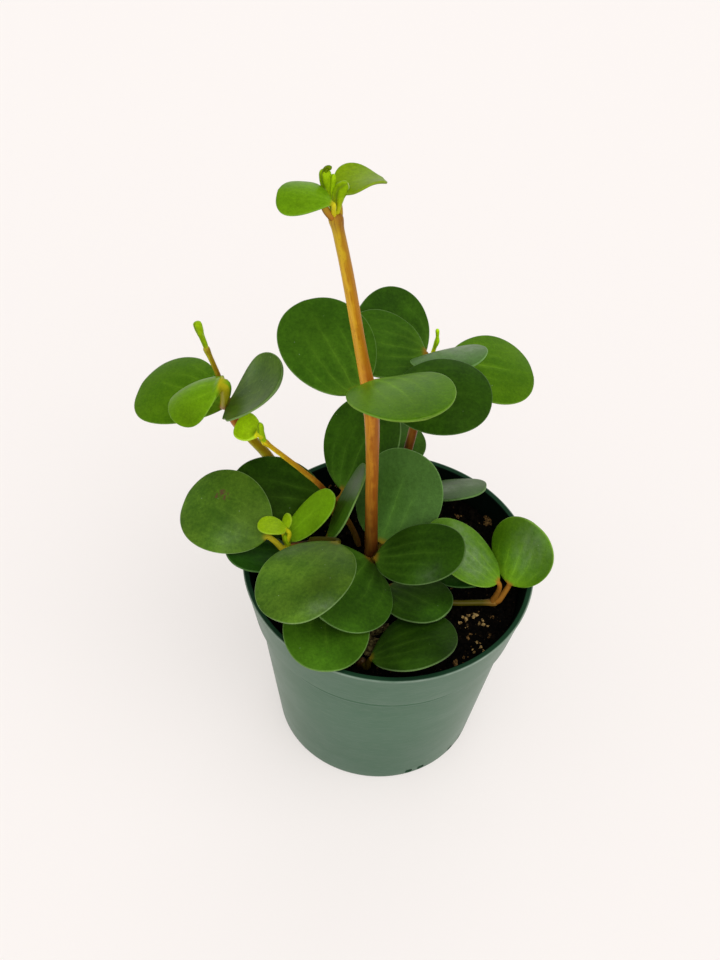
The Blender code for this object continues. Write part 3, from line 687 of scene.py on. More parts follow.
@dataclass(frozen=True)
class Leaf:
    """One leaf on its stalk, a thin closed spoon of flesh.

    stem, knot: the stem and the number of its knot where the stalk grows
    base: where the blade begins; length, width, outline: the blade's size and form
    heading: which way the blade points, in degrees from +X towards +Y
    rise: how steeply the middle of the blade climbs; roll: how far it leans about its midrib
    droop: how far the midrib bends down along the blade; crown: how far it bends across
    start: where the stalk begins, if it isn't straight out from the knot
    red: how red the stalk is; stalk_light: how bright it is, low where painted shade darkens it
    light: how bright the blade is, its own tone together with painted light and shade
    trim: how much narrower one side is about a quarter of the way along
    wave: how far the margin waves up and down
    funnel: how much wider the stalk is where it meets the blade
    lead, trail: how long the stalk keeps the direction of its start and of the blade, as shares
    shades: soft lighter or darker patches, partly the leaf's own tone and partly painted light and
    shade, as (share along, share across, size, change)
    blooms: soft patches of painted sheen, a pale reflection, as (share along, share across, size, strength)
    scars: corky spots as (share along, share across, size)
    """

    stem: str
    knot: int
    base: Point
    heading: float
    rise: float
    roll: float
    length: float
    width: float
    droop: float
    crown: float
    outline: Outline = Outline.ROUND
    start: Point | None = None
    tone: Tone = Tone.DEEP
    red: float = 0.5
    light: float = 1.0
    stalk_light: float = 1.0
    trim: float = 0.0
    stalk_radius: float = 0.95
    wave: float = 0.22
    funnel: float = 0.0
    lead: float = 0.4
    trail: float = 0.4
    shades: tuple[Knot, ...] = ()
    painted_sheens: tuple[Knot, ...] = ()
    scars: tuple[Point, ...] = ()

    THICKNESS: ClassVar[float] = 1.3
    EDGE_THICKNESS: ClassVar[float] = 0.7
    ROUNDED_SHARE: ClassVar[float] = 0.6
    LEAST_ROUNDING: ClassVar[float] = 0.02
    LEAST_CROWN: ClassVar[float] = 0.1
    NECK_SHARE: ClassVar[float] = 0.15
    TRIM_CENTRE: ClassVar[float] = 0.25
    TRIM_SPREAD: ClassVar[float] = 0.2
    # The margin's wave: radians along the blade and between its sides, degrees from leaf to leaf
    WAVE_RUN: ClassVar[float] = 7.5
    WAVE_SHIFT: ClassVar[float] = 1.9
    HEADING_PHASE: ClassVar[float] = 3.0
    LENGTH_PHASE: ClassVar[float] = 40.0
    # Where the stalk's colour ends on the blade, along and in neck radii across
    STALK_COLOUR_SHARE: ClassVar[float] = 0.07
    STALK_COLOUR_REACH: ClassVar[float] = 2.5
    MARGIN_START: ClassVar[float] = 0.05
    SCAR_STRETCH: ClassVar[float] = 1.6
    UNDERNEATH: ClassVar[float] = -0.01
    STALK_GAP: ClassVar[float] = 0.4
    STALK_OUTWARD: ClassVar[float] = 0.8
    STALK_UPWARD: ClassVar[float] = 0.6
    STALK_FLARE: ClassVar[float] = 0.3
    # Shares of the stalk over which the funnel widens and the red fades out of it
    FUNNEL_RUN: ClassVar[Span] = (0.15, 0.9)
    RED_FADE: ClassVar[Span] = (0.2, 0.5)
    # How far up round the funnel, as a sine, it turns from the stalk's colour to the blade's
    GREEN_TOP: ClassVar[Span] = (0.75, 0.95)
    ROOT_START: ClassVar[float] = 0.25
    AROUND: ClassVar[int] = 72
    STATIONS: ClassVar[int] = 54
    LAST_STATION: ClassVar[float] = 0.9992
    OUTLINE_STATIONS: ClassVar[int] = 160
    STALK_STATIONS: ClassVar[int] = 12
    ROOT_STATIONS: ClassVar[int] = 3
    SEARCH_STATIONS: ClassVar[int] = 12
    FAR: ClassVar[float] = 50.0

    def frame(self) -> tuple[np.ndarray, np.ndarray, np.ndarray, np.ndarray]:
        """Work out where the blade begins and its own directions there.

        Along points to the heading and is pitched up by the rise and half the droop; side and up
        are square to it and are turned about it by the roll.

        Returns:
            The base point, along, side and up.
        """
        heading, roll = math.radians(self.heading), math.radians(self.roll)
        pitch = math.radians(self.rise + self.droop / 2)
        level = np.array([math.cos(heading), math.sin(heading), 0.0])
        along = level * math.cos(pitch) + np.array([0, 0, math.sin(pitch)])
        level_side = np.array([-math.sin(heading), math.cos(heading), 0.0])
        level_up = np.cross(along, level_side)
        side = level_side * math.cos(roll) + level_up * math.sin(roll)
        up = level_up * math.cos(roll) - level_side * math.sin(roll)
        return np.asarray(self.base, float), along, side, up

    def neck_radius(self) -> float:
        """Return the stalk's radius where it meets the blade."""
        return self.stalk_radius * (1 + self.funnel)

    def patches(self, spots: tuple[Knot, ...], grid: BladeGrid) -> np.ndarray:
        """Work out the sum of soft patches, each its strength times exp(-(distance / size)^2).

        Args:
            spots: (share along, share across, size, strength) of each patch.
            grid: the blade's points.

        Returns:
            The sum at each point.
        """
        total = np.zeros(grid.shape())
        for spot in spots:
            x, y = grid.offsets(spot, self.length)
            size, strength = spot[2:]
            total = total + strength * np.exp(-(x**2 + y**2) / size**2)
        return total

    def scar_distance(self, grid: BladeGrid) -> np.ndarray:
        """Work out how far the nearest scar is, as a share of the scar's size, and far underneath.

        Args:
            grid: the blade's points.

        Returns:
            The distance at each point.
        """
        nearest = np.full(grid.shape(), self.FAR)
        for scar in self.scars:
            x, y = grid.offsets(scar, self.length)
            reach = np.hypot(x, y * self.SCAR_STRETCH) / scar[2]
            nearest = np.minimum(nearest, np.where(np.sin(grid.turn) > 0, reach, self.FAR))
        return nearest

    def half_widths(self, stations: np.ndarray) -> np.ndarray:
        """Work out the blade's half-width.

        It is s^p (1 - s)^q, scaled to the leaf's width, and joined by a root of squares with the
        stalk's radius times (1 - s)^3, so that the blade grows out of the stalk.

        Args:
            stations: the shares s along the blade.

        Returns:
            The half-width at each station.
        """
        p, q = self.outline.value
        widest = p / (p + q)
        scale = self.width / 2 / (widest**p * (1 - widest)**q)
        blade = scale * stations**p * (1 - stations)**q
        return np.hypot(blade, self.neck_radius() * (1 - stations)**3)

    def rim_distance(self, stations: np.ndarray, across: np.ndarray) -> np.ndarray:
        """Work out how far each point of the flat blade is from the nearest point of its outline.

        Args:
            stations: the shares along the blade, one a ring.
            across: the shares across the half-blade, one a place round a ring.

        Returns:
            The distance at each point.
        """
        ends = (1 - np.cos(np.linspace(0, math.pi, self.OUTLINE_STATIONS))) / 2
        outline_x = np.concatenate([ends, ends]) * self.length
        outline_y = np.concatenate([self.half_widths(ends), -self.half_widths(ends)])
        x = np.broadcast_to(stations[:, None] * self.length, (len(stations), len(across)))
        y = self.half_widths(stations)[:, None] * across
        square = (x[..., None] - outline_x)**2 + (y[..., None] - outline_y)**2
        return np.sqrt(square.min(axis=-1))

    def blade(self) -> tuple[np.ndarray, Traits]:
        """Work out the closed rings round the blade, from the stalk to the tip.

        The midrib is an arc that turns through droop. Each cross-section is an arc that turns
        through crown over the half-width, with a faint wave that grows towards the margin. A ring
        goes over the top and back underneath as an angle a, with cos a the share across and the
        thickness times sin a, which rounds the margin off.

        Returns:
            The rings and their traits.
        """
        base, along, side, up = self.frame()
        stations = (1 - np.cos(np.linspace(0, math.pi, self.STATIONS + 1)[1:])) / 2
        stations[-1] = self.LAST_STATION
        widths = self.half_widths(stations)[:, None]
        turn = full_turn(self.AROUND)
        across, lift = np.cos(turn), np.sin(turn)
        droop = math.radians(self.droop)
        bent = (droop * stations)[:, None]
        normal = np.sin(bent) * along + np.cos(bent) * up
        midrib = base + self.length / droop * (np.sin(bent) * along - (1 - np.cos(bent)) * up)
        crown = math.radians(self.crown or self.LEAST_CROWN) / (self.width / 2)
        near_trim = fading(stations - self.TRIM_CENTRE, self.TRIM_SPREAD)[:, None]
        cut = 1 - self.trim * (across < 0) * near_trim
        bend = (crown * widths * across * cut)[..., None]
        middle = midrib[:, None] + (np.sin(bend) * side - (1 - np.cos(bend)) * normal[:, None]) / crown
        outward = np.sin(bend) * side + np.cos(bend) * normal[:, None]
        rim = self.rim_distance(stations, across)
        phase = math.radians(self.heading * self.HEADING_PHASE + self.length * self.LENGTH_PHASE)
        swing = stations[:, None] * self.WAVE_RUN + phase + np.sign(across) * self.WAVE_SHIFT
        wave = self.wave * np.sin(swing) * across**2
        flat = self.EDGE_THICKNESS + (self.THICKNESS - self.EDGE_THICKNESS) * (1 - across**2)
        rounded = np.clip(rim / (self.EDGE_THICKNESS * self.ROUNDED_SHARE), self.LEAST_ROUNDING, 1)
        half = flat / 2 * np.sqrt(1 - (1 - rounded)**2) * np.sign(lift)
        near_stalk = 1 - smooth_step(stations, 0.0, self.NECK_SHARE)[:, None]
        half = half * (1 - near_stalk) + self.neck_radius() * lift * near_stalk
        wave = wave * (1 - near_stalk)
        rings = middle + outward * (half + wave)[..., None]
        return rings, self.blade_traits(BladeGrid(stations, turn, widths), rim)

    def blade_traits(self, grid: BladeGrid, rim: np.ndarray) -> Traits:
        """Work out what the blade's points keep for the material.

        Args:
            grid: the blade's points.
            rim: how far each is from the outline.

        Returns:
            The traits that the leaf's finish reads.
        """
        along, across, neck = grid.stations[:, None], np.cos(grid.turn), self.neck_radius()
        margin = np.where(along < self.MARGIN_START, self.FAR, rim)
        stalk = 1 - smooth_step(along, 0.0, self.STALK_COLOUR_SHARE)
        side = np.abs(across) * grid.widths
        stalk = stalk * (1 - smooth_step(side, neck, self.STALK_COLOUR_REACH * neck))
        light = self.light * (1 + self.patches(self.shades, grid))
        under = np.sin(grid.turn) < self.UNDERNEATH
        return {
            "blade": trait_rows(rim.shape, along, across, grid.widths),
            "edge": trait_rows(rim.shape, margin, self.scar_distance(grid), under),
            "join": trait_rows(rim.shape, stalk, self.red * (1 - min(self.funnel, 1))),
            "shade": trait_rows(rim.shape, light, self.patches(self.painted_sheens, grid)),
        }

    def stalk_root(self) -> tuple[np.ndarray, np.ndarray, np.ndarray]:
        """Work out how the stalk leaves its stem: at the knot, square to the stem towards the blade.

        Returns:
            Where it leaves the stem's middle, where it starts and which way it leaves.
        """
        knots = np.asarray(STEM_KNOTS[self.stem], float)
        last = len(knots) - 1
        centre, radius = knots[self.knot, :3], knots[self.knot, 3]
        axis = unit(knots[min(self.knot + 1, last), :3] - knots[self.knot - 1, :3])
        offset = np.asarray(self.base, float) - centre
        sideways = unit(offset - axis * np.dot(offset, axis))
        start = centre + sideways * (radius + self.STALK_GAP + self.stalk_radius)
        if self.start is not None:
            start = np.asarray(self.start, float)
        leaving = unit(self.STALK_OUTWARD * sideways + self.STALK_UPWARD * axis)
        if self.start is not None:
            leaving = unit(leaving * self.STALK_OUTWARD + unit(np.asarray(self.base, float) - start))
        line = smooth_path(knots, self.SEARCH_STATIONS)[:, :3]
        root = line[np.argmin(np.linalg.norm(line - start, axis=1))]
        return root, start, leaving

    def stalk(self) -> tuple[np.ndarray, Traits]:
        """Work out the rings of the stalk, from inside the stem to the blade.

        The stalk is a round tube along a straight root and then a cubic curve with the points
        start, start + lead, base - trail and base. It flares at its root by the square of what is
        left, and widens into the funnel by a smooth step.

        Returns:
            The rings and their traits.
        """
        root, start, leaving = self.stalk_root()
        base, along, side, _ = self.frame()
        reach = np.linalg.norm(base - start)
        first, last = start + leaving * reach * self.lead, base - along * reach * self.trail
        t = (np.arange(self.STALK_STATIONS) / self.STALK_STATIONS)[:, None]
        u = 1 - t
        curve = u**3 * start + 3 * u**2 * t * first + 3 * u * t**2 * last + t**3 * base
        inward = np.linspace(self.ROOT_START, 1, self.ROOT_STATIONS, endpoint=False)[:, None]
        centres = np.concatenate([root + (start - root) * inward, curve])
        ahead = unit_rows(np.gradient(np.concatenate([centres, base[None]]), axis=0)[:-1])
        across = unit_rows(side - ahead * (ahead @ side)[:, None])
        share = np.linspace(0, 1, len(centres))
        widening = smooth_step(share, *self.FUNNEL_RUN)
        radius = self.stalk_radius * (1 + self.STALK_FLARE * (1 - share)**2 + self.funnel * widening)
        shape = (len(centres), self.AROUND)
        rings = tube(centres, across, np.cross(ahead, across), np.broadcast_to(radius[:, None], shape))
        turn, funnel = full_turn(self.AROUND), min(self.funnel, 1)
        red = self.red * (1 - funnel * smooth_step(share, *self.RED_FADE))[:, None]
        green = funnel * widening[:, None] * smooth_step(np.sin(turn), *self.GREEN_TOP)
        traits = {
            "blade": trait_rows(shape, 0.0, np.cos(turn), self.stalk_radius),
            "edge": trait_rows(shape, self.FAR, self.FAR),
            "join": trait_rows(shape, 1 - green, red),
            "shade": trait_rows(shape, self.stalk_light),
        }
        return rings, traits

    def skin(self) -> Skin:
        """Join the stalk and the blade.

        Returns:
            The leaf as one closed skin, with its traits.
        """
        stalk_rings, stalk_traits = self.stalk()
        blade_rings, blade_traits = self.blade()
        traits = {name: np.concatenate([stalk_traits[name], blade_traits[name]]) for name in blade_traits}
        return Skin(np.concatenate([stalk_rings, blade_rings]), traits)


@dataclass
class Foliage:
    """The thirty full leaves, whose light, stalk_light and shades carry painted light and shade as well as
    their own tone, and whose blooms paint sheen.
    """

    leaves: dict[str, Leaf] = field(default_factory=lambda: {
        "leaf_top_left": Leaf("tall", 8, (-24.5, -5.9, 240.2), 170, 1, -2, 15.6, 16, 37, 32,
            Outline.OBOVATE, (-24.4, -3.7, 235.2), Tone.YOUNG, red=0.0, stalk_light=1.5, stalk_radius=0.65,
            trail=0.15, shades=((0.5, -0.5, 3, 0.12), (0.5, 0.6, 3, -0.15))),
        "leaf_top_right": Leaf("tall", 8, (-23.3, 0.3, 239.3), 43, -1, -15, 14.3, 17, 55, -28,
            Outline.ELLIPTIC, (-22.7, -2.2, 233.6), Tone.LIME, red=0.7, light=0.61, stalk_radius=0.75,
            trail=0.15),
        "leaf_middle_left": Leaf("tall", 5, (-15.5, 2, 162), 128, 22, -3, 35, 31, 12, 4, tone=Tone.MIDDLE,
            light=0.95, shades=((0.25, 0.6, 7, 0.2), (0.75, 0.1, 7, -0.18))),
        "leaf_middle_front": Leaf("tall", 5, (-9.5, -8, 177.5), 300, 25, -1, 36, 31, 34, -3,
            tone=Tone.FRESH, shades=((0.3, 0, 9, 0.15), (0.85, 0, 8, -0.2))),
        "leaf_middle_right": Leaf("tall", 5, (-5, -1.2, 164.2), -8, 7, 16, 33, 28, 53, 16, light=0.8,
            shades=((0.7, 0, 8, -0.2),)),
        "leaf_back_upper": Leaf("back", 5, (5, 35.2, 150.3), 164, 30, -9, 27, 31, -3, -16,
            start=(7.4, 31.7, 150.4), light=0.95),
        "leaf_back_inner": Leaf("back", 5, (5, 27.3, 158.2), 186, 10, -6, 27, 29, 16, -4, tone=Tone.MIDDLE,
            light=0.95, shades=((0.2, -0.4, 5, -0.25),)),
        "leaf_back_front": Leaf("back", 5, (9, 25.7, 159.9), 291, 28, 4, 22, 25, 59, 2, tone=Tone.BLUISH,
            light=1.2, painted_sheens=((0.5, 0.5, 6, 0.5), (0.3, -0.3, 5, 0.3))),
        "leaf_back_right": Leaf("back", 5, (12.5, 31, 151), 4, -9, 1, 30, 31, 27, 4,
            start=(9.5, 29.5, 151.9), tone=Tone.FRESH, light=0.92, shades=((0.75, -0.5, 7, -0.15),)),
        "leaf_back_low": Leaf("back", 1, (-1, 42, 87), 95, -1, 10, 25, 25, 18, 10),
        "leaf_back_edge": Leaf("back", 1, (9, 29.5, 88), 6, 13, -31, 24, 24, 19, 9, tone=Tone.BLUISH,
            shades=((0.5, 0.4, 6, -0.35), (0.5, -0.9, 5, -0.3)),
            painted_sheens=((0.4, -0.2, 4, 0.6), (0.75, 0.1, 3, 0.5))),
        "leaf_far_left_rear": Leaf("left_rear", 6, (-60.5, 22.5, 129.3), 162, -9, -10, 34, 31, 48, 15,
            Outline.WIDE_OBOVATE, (-56.5, 23.7, 127.9), Tone.FRESH, light=0.9),
        "leaf_far_left_front": Leaf("left_rear", 6, (-58.6, 10.1, 152.3), 177, -32, 6, 21, 27, 35, 58,
            start=(-59.9, 17, 135.2), tone=Tone.YOUNG, red=1.0, funnel=1.1, trail=0.1,
            shades=((0.4, 0, 5, 0.2), (0.6, 0.8, 5, -0.3))),
        "leaf_far_left_right": Leaf("left_rear", 6, (-58, 16.2, 136.4), -32, 47, 21, 31, 29, 4, -35,
            start=(-58, 16.7, 133.1), tone=Tone.WAXY, red=1.0, light=1.12, trim=0.22,
            shades=((0.4, 0.85, 5, 0.45), (0.35, -0.6, 6, 0.25), (0.85, -0.4, 5, -0.2)),
            painted_sheens=((0.35, 0.75, 4, 0.2),)),
        "leaf_left_large": Leaf("left_low", 4, (-41.5, -7.5, 99.5), 164, -3, -27, 35, 30, 53, 8,
            start=(-36.6, -8.2, 94.6), tone=Tone.WAXY, red=0.0, light=1.12, stalk_light=1.2,
            shades=((0.95, 0, 9, 0.35), (0.4, 0.8, 6, 0.35), (0.25, -0.3, 6, -0.15)),
            painted_sheens=((0.3, 0.5, 5, 0.12),), scars=((0.61, -0.33, 1.9), (0.66, -0.22, 1.0))),
        "leaf_left_behind": Leaf("left_middle", 2, (-24.3, 13.3, 95.8), 191, 6, -34, 34, 29, 17, 8,
            start=(-18.9, 14.9, 85.5), light=0.7),
        "leaf_left_under": Leaf("left_low", 4, (-33.5, -4.5, 88.4), 196, 13, 15, 24, 25, 18, 3,
            start=(-30.2, -3.2, 88.8), tone=Tone.SHADED, red=0.0, light=0.85, stalk_light=0.5),
        "leaf_left_young": Leaf("left_low", 4, (-36, -3.4, 94.2), 29, 44, -1, 24, 13, -2, 5,
            start=(-35.4, -3.4, 92.2), tone=Tone.YOUNG, red=0.0, light=1.2,
            shades=((0.3, 0.1, 4, 0.25), (0.5, -0.8, 4, -0.25))),
        "leaf_left_upright": Leaf("left_low", 2, (-21.5, -1.4, 94.6), 54, 53, -53, 29, 27, 4, 0,
            tone=Tone.MIDDLE, light=1.15, stalk_light=0.4, shades=((0.85, 0, 8, -0.35),)),
        "leaf_rear_centre": Leaf("left_rear", 1, (-18.5, 25.5, 89), 65, 46, -17, 36, 33, 4, -17,
            light=1.15, shades=((0.15, 0.6, 7, 0.3),)),
        "leaf_centre": Leaf("tall", 2, (-3, 2.5, 90), 72, 44, -7, 34, 32, -11, 15, Outline.BLUNT_ROUND,
            tone=Tone.BLUISH, red=0.0, light=1.3, stalk_light=0.4,
            shades=((0.1, 0, 5, 0.35), (0.35, -0.1, 7, 0.25), (0.35, 0.75, 6, -0.4))),
        "leaf_front_left": Leaf("front", 3, (-17.8, -14.4, 107.6), 238, -4, 17, 37, 33, 47, 8,
            Outline.SHORT_ROUND, (-26.6, -8.1, 100.8), Tone.WAXY, red=0.0, light=1.02, stalk_light=0.1,
            shades=((0.6, -0.8, 9, 0.6), (0.45, -0.1, 6, 0.3), (0.55, 0.45, 5, -0.35), (0.92, 0.7, 5, 0.5),
            (0.0, 0, 3.5, -0.6)), painted_sheens=((0.75, 0.85, 4, 0.3), (0.3, -0.8, 4, 0.15))),
        "leaf_front_middle": Leaf("tall", 2, (-6.9, -6, 90.4), 253, 7, -25, 34, 35, 35, -7,
            start=(-8.8, -4.9, 88.2), light=1.05, stalk_light=0.6,
            shades=((0.12, 0.4, 5, -0.3), (0.88, 0.8, 4, 0.35))),
        "leaf_front_low_left": Leaf("front", 2, (-20.5, -18.5, 85), 277, 2, -1, 33, 29, 36, -8,
            tone=Tone.MIDDLE, stalk_light=0.6, shades=((0.5, 0, 7, -0.3), (0.88, 0, 6, 0.45)),
            scars=((0.80, 0.05, 0.55),)),
        "leaf_front_right": Leaf("tall", 2, (-4.5, -8.9, 95.2), -11, 25, 16, 33, 23, 12, -1,
            start=(-3.6, -4.3, 91), light=0.8, red=0.4, stalk_light=0.28,
            shades=((0.3, 0.7, 5, -0.4), (0.5, -0.8, 5, 0.35)), painted_sheens=((0.65, -0.75, 4, 0.15),)),
        "leaf_front_inner": Leaf("tall", 1, (0.5, -11.5, 83.4), 328, 12, -6, 25, 23, 23, -3, light=0.68,
            stalk_light=0.4, shades=((0.9, -0.3, 5, 1.2),)),
        "leaf_front_low_right": Leaf("front_low", 2, (-2.5, -40.8, 81.7), 20, 16, -22, 30, 31, 31, -4,
            Outline.FAN, (-4, -41.5, 77.6), red=0.0, light=0.58, stalk_light=0.08,
            shades=((0.5, -0.9, 6, 0.7),)),
        "leaf_right_front": Leaf("right", 5, (38, -9, 89), 153, 26, 9, 31, 23, 8, 7, Outline.ELLIPTIC,
            (37.4, -9, 79.6), Tone.FRESH, red=0.8, light=1.15, stalk_radius=0.85, trail=0.2,
            shades=((0.88, 0, 4, -0.3),),
            painted_sheens=((0.4, 0.1, 7, 0.55), (0.72, 0.4, 5, 0.45), (0.7, -0.5, 4, 0.35))),
        "leaf_right_under": Leaf("right", 1, (13, 0.8, 81.6), 352, 9, -13, 24, 19, 19, 9, tone=Tone.SHADED,
            light=0.95, stalk_light=0.4),
        "leaf_right_end": Leaf("right", 5, (42.5, -5, 84), 63, 65, -12, 25, 25, -2, 2,
            start=(39.6, -8.6, 79), tone=Tone.FRESH, red=0.8, trail=0.2, light=0.95,
            shades=((0.2, 0, 8, 0.8), (0.55, 0.9, 6, -0.35), (0.9, -0.8, 4, 0.5), (0.5, 0, 6, 0.1)),
            painted_sheens=((0.75, -0.3, 7, 0.3), (0.45, -0.2, 6, 0.15))),
    })

    def build(self) -> None:
        """Build every leaf, with one material for all leaves of a tone."""
        finishes = {tone: tone.value.dress(f"leaf_{tone.name.lower()}_finish") for tone in Tone}
        bright = {Tone.FRESH, Tone.YOUNG, Tone.LIME}
        for name, leaf in self.leaves.items():
            slot = "leaf_bright" if leaf.tone in bright else "leaf_dark"
            mesh = join_skins(f"{name}_skin", [leaf.skin()])
            place_piece(f"{name}_fine", mesh, finishes[leaf.tone], slot, name)


@dataclass(frozen=True)
class StemFinish:
    """A fleshy stem's skin, whose colour runs from the soil to the tip through the stops."""

    stops: tuple[tuple[float, Colour], ...]
    speck: Colour = (0.11, 0.038, 0.008)
    # Multiplied in for the painted shade down one side and for the darker streaks
    shade_and_streak_tint: Colour = (0.62, 0.44, 0.36)
    roughness: float = 0.42
    gloss: float = 0.22
    tint: Colour = (1.0, 0.85, 0.6)

    def dress(self, name: str) -> bpy.types.Material:
        """Build the material.

        A stem's points keep "run", the share along it and a node's nearness, and "grain", its
        unrolled place, along which the streaks stretch. One side, where grain's first number is
        low, is painted browner and darker as shade.

        Args:
            name: the material's name.

        Returns:
            The material.
        """
        board = Board(name)
        place = board.place()
        share, node, _ = board.trait("run")
        grain = board.kept_vector("grain")
        side, _, _ = board.trait("grain")
        streak = board.noise(board.vector("MULTIPLY", grain, (1.6, 1.6, 0.10)), 1.0, 3.0)
        blotch = board.noise(place, 4.0, 2.0)
        wander = (blotch - 0.5) * 0.10
        colour = board.ramp(share + wander, self.stops)
        # Painted shade down the +X side, and darker streaks, both multiplied in
        shaded = (side + (blotch - 0.5) * 2.4).rise(-0.2, -1.7) * 0.9 + streak.rise(0.45, 0.65) * 0.5
        colour = board.node("ShaderNodeMix", {"data_type": "RGBA", "blend_type": "MULTIPLY"},
                            {0: shaded.least(1.0), 6: colour, 7: self.shade_and_streak_tint}).out(2)
        specks = board.specks(board.vector("MULTIPLY", grain, (1.0, 1.0, 0.6)), 0.6, 0.15, 0.40)
        colour = board.mix(specks * 0.55, colour, self.speck)
        colour = board.mix(node * streak.rise(0.30, 0.60) * 0.35, colour, self.speck)
        relief = streak * 0.5 + board.noise(place, 0.4, 2.0) * 0.3
        roughness = self.roughness + (streak - 0.5) * 0.2
        return board.finish(colour, roughness, relief, 0.10, self.gloss, self.tint)


BROWN_FOOT: Colour = (0.20, 0.070, 0.018)
AMBER: Colour = (0.50, 0.19, 0.025)
YELLOW_GREEN: Colour = (0.48, 0.50, 0.02)
RUST: Colour = (0.34, 0.10, 0.02)


@dataclass(frozen=True)
class Stem:
    """One fleshy stem: a round tube along a smooth path that swells at its nodes.

    nodes: the knots where leaves grow, each with how much the stem swells there
    """

    knots: tuple[Knot, ...]
    finish: StemFinish
    nodes: tuple[tuple[int, float], ...] = ()

    AROUND: ClassVar[int] = 40
    PER_SPAN: ClassVar[int] = 22
    SWELL_LENGTH: ClassVar[float] = 2.2
    CAP: ClassVar[int] = 5
    LAST_RING: ClassVar[float] = 0.001
    GUIDE: ClassVar[Point] = (0.3, 1.0, 0.2)
    GRAIN_RADIUS: ClassVar[float] = 2.0
    # Ripples as (waves round the stem, height, turn in radians for each millimetre along it)
    RIPPLES: ClassVar[tuple[Point, ...]] = ((3, 0.012, 0.11), (5, 0.008, -0.2))

    def skin(self) -> Skin:
        """Work out the stem's rings.

        Each ring is a circle square to the path, with the path's radius times one plus each node's
        swelling, which falls off as exp(-(distance / swell length)^2), and faint ripples round it.
        The top is a dome: its rings are cos b times the last radius, and sin b times it further on.

        Returns:
            The stem as one closed skin, with its traits.
        """
        rows = smooth_path(self.knots, self.PER_SPAN)
        centres, radii = rows[:, :3], rows[:, 3]
        run = np.concatenate([[0], np.cumsum(np.linalg.norm(np.diff(centres, axis=0), axis=1))])
        near_node = np.zeros(len(run))
        for knot, swell in self.nodes:
            nearness = fading(run - run[knot * self.PER_SPAN], self.SWELL_LENGTH)
            radii = radii * (1 + swell * nearness)
            near_node = np.maximum(near_node, nearness)
        ahead = unit_rows(np.gradient(centres, axis=0))
        bend = np.linspace(0, math.pi / 2, self.CAP + 1)[1:]
        cap, dome = np.sin(bend), np.cos(bend) * (1 - self.LAST_RING) + self.LAST_RING
        top = centres[-1] + ahead[-1] * (cap * radii[-1])[:, None]
        centres = np.concatenate([centres, top])
        ahead = np.concatenate([ahead, np.repeat(ahead[-1:], self.CAP, axis=0)])
        near_node = np.concatenate([near_node, np.repeat(near_node[-1:], self.CAP)])
        radii = np.concatenate([radii, radii[-1] * dome])
        run = np.concatenate([run, run[-1] + cap * radii[-self.CAP - 1]])
        across = unit_rows(np.cross(ahead, self.GUIDE))
        turn = full_turn(self.AROUND)
        ripple = 1.0
        for waves, height, drift in self.RIPPLES:
            ripple = ripple + height * np.sin(waves * turn + run[:, None] * drift)
        rings = tube(centres, across, np.cross(ahead, across), radii[:, None] * ripple)
        soil_line, shape = run[self.PER_SPAN], rings.shape[:2]
        share = np.clip((run - soil_line) / (run[-1] - soil_line), 0, 1)
        unrolled = self.GRAIN_RADIUS * np.cos(turn), self.GRAIN_RADIUS * np.sin(turn), run[:, None]
        traits = {"run": trait_rows(shape, share[:, None], near_node[:, None]),
                  "grain": trait_rows(shape, *unrolled)}
        return Skin(rings, traits)


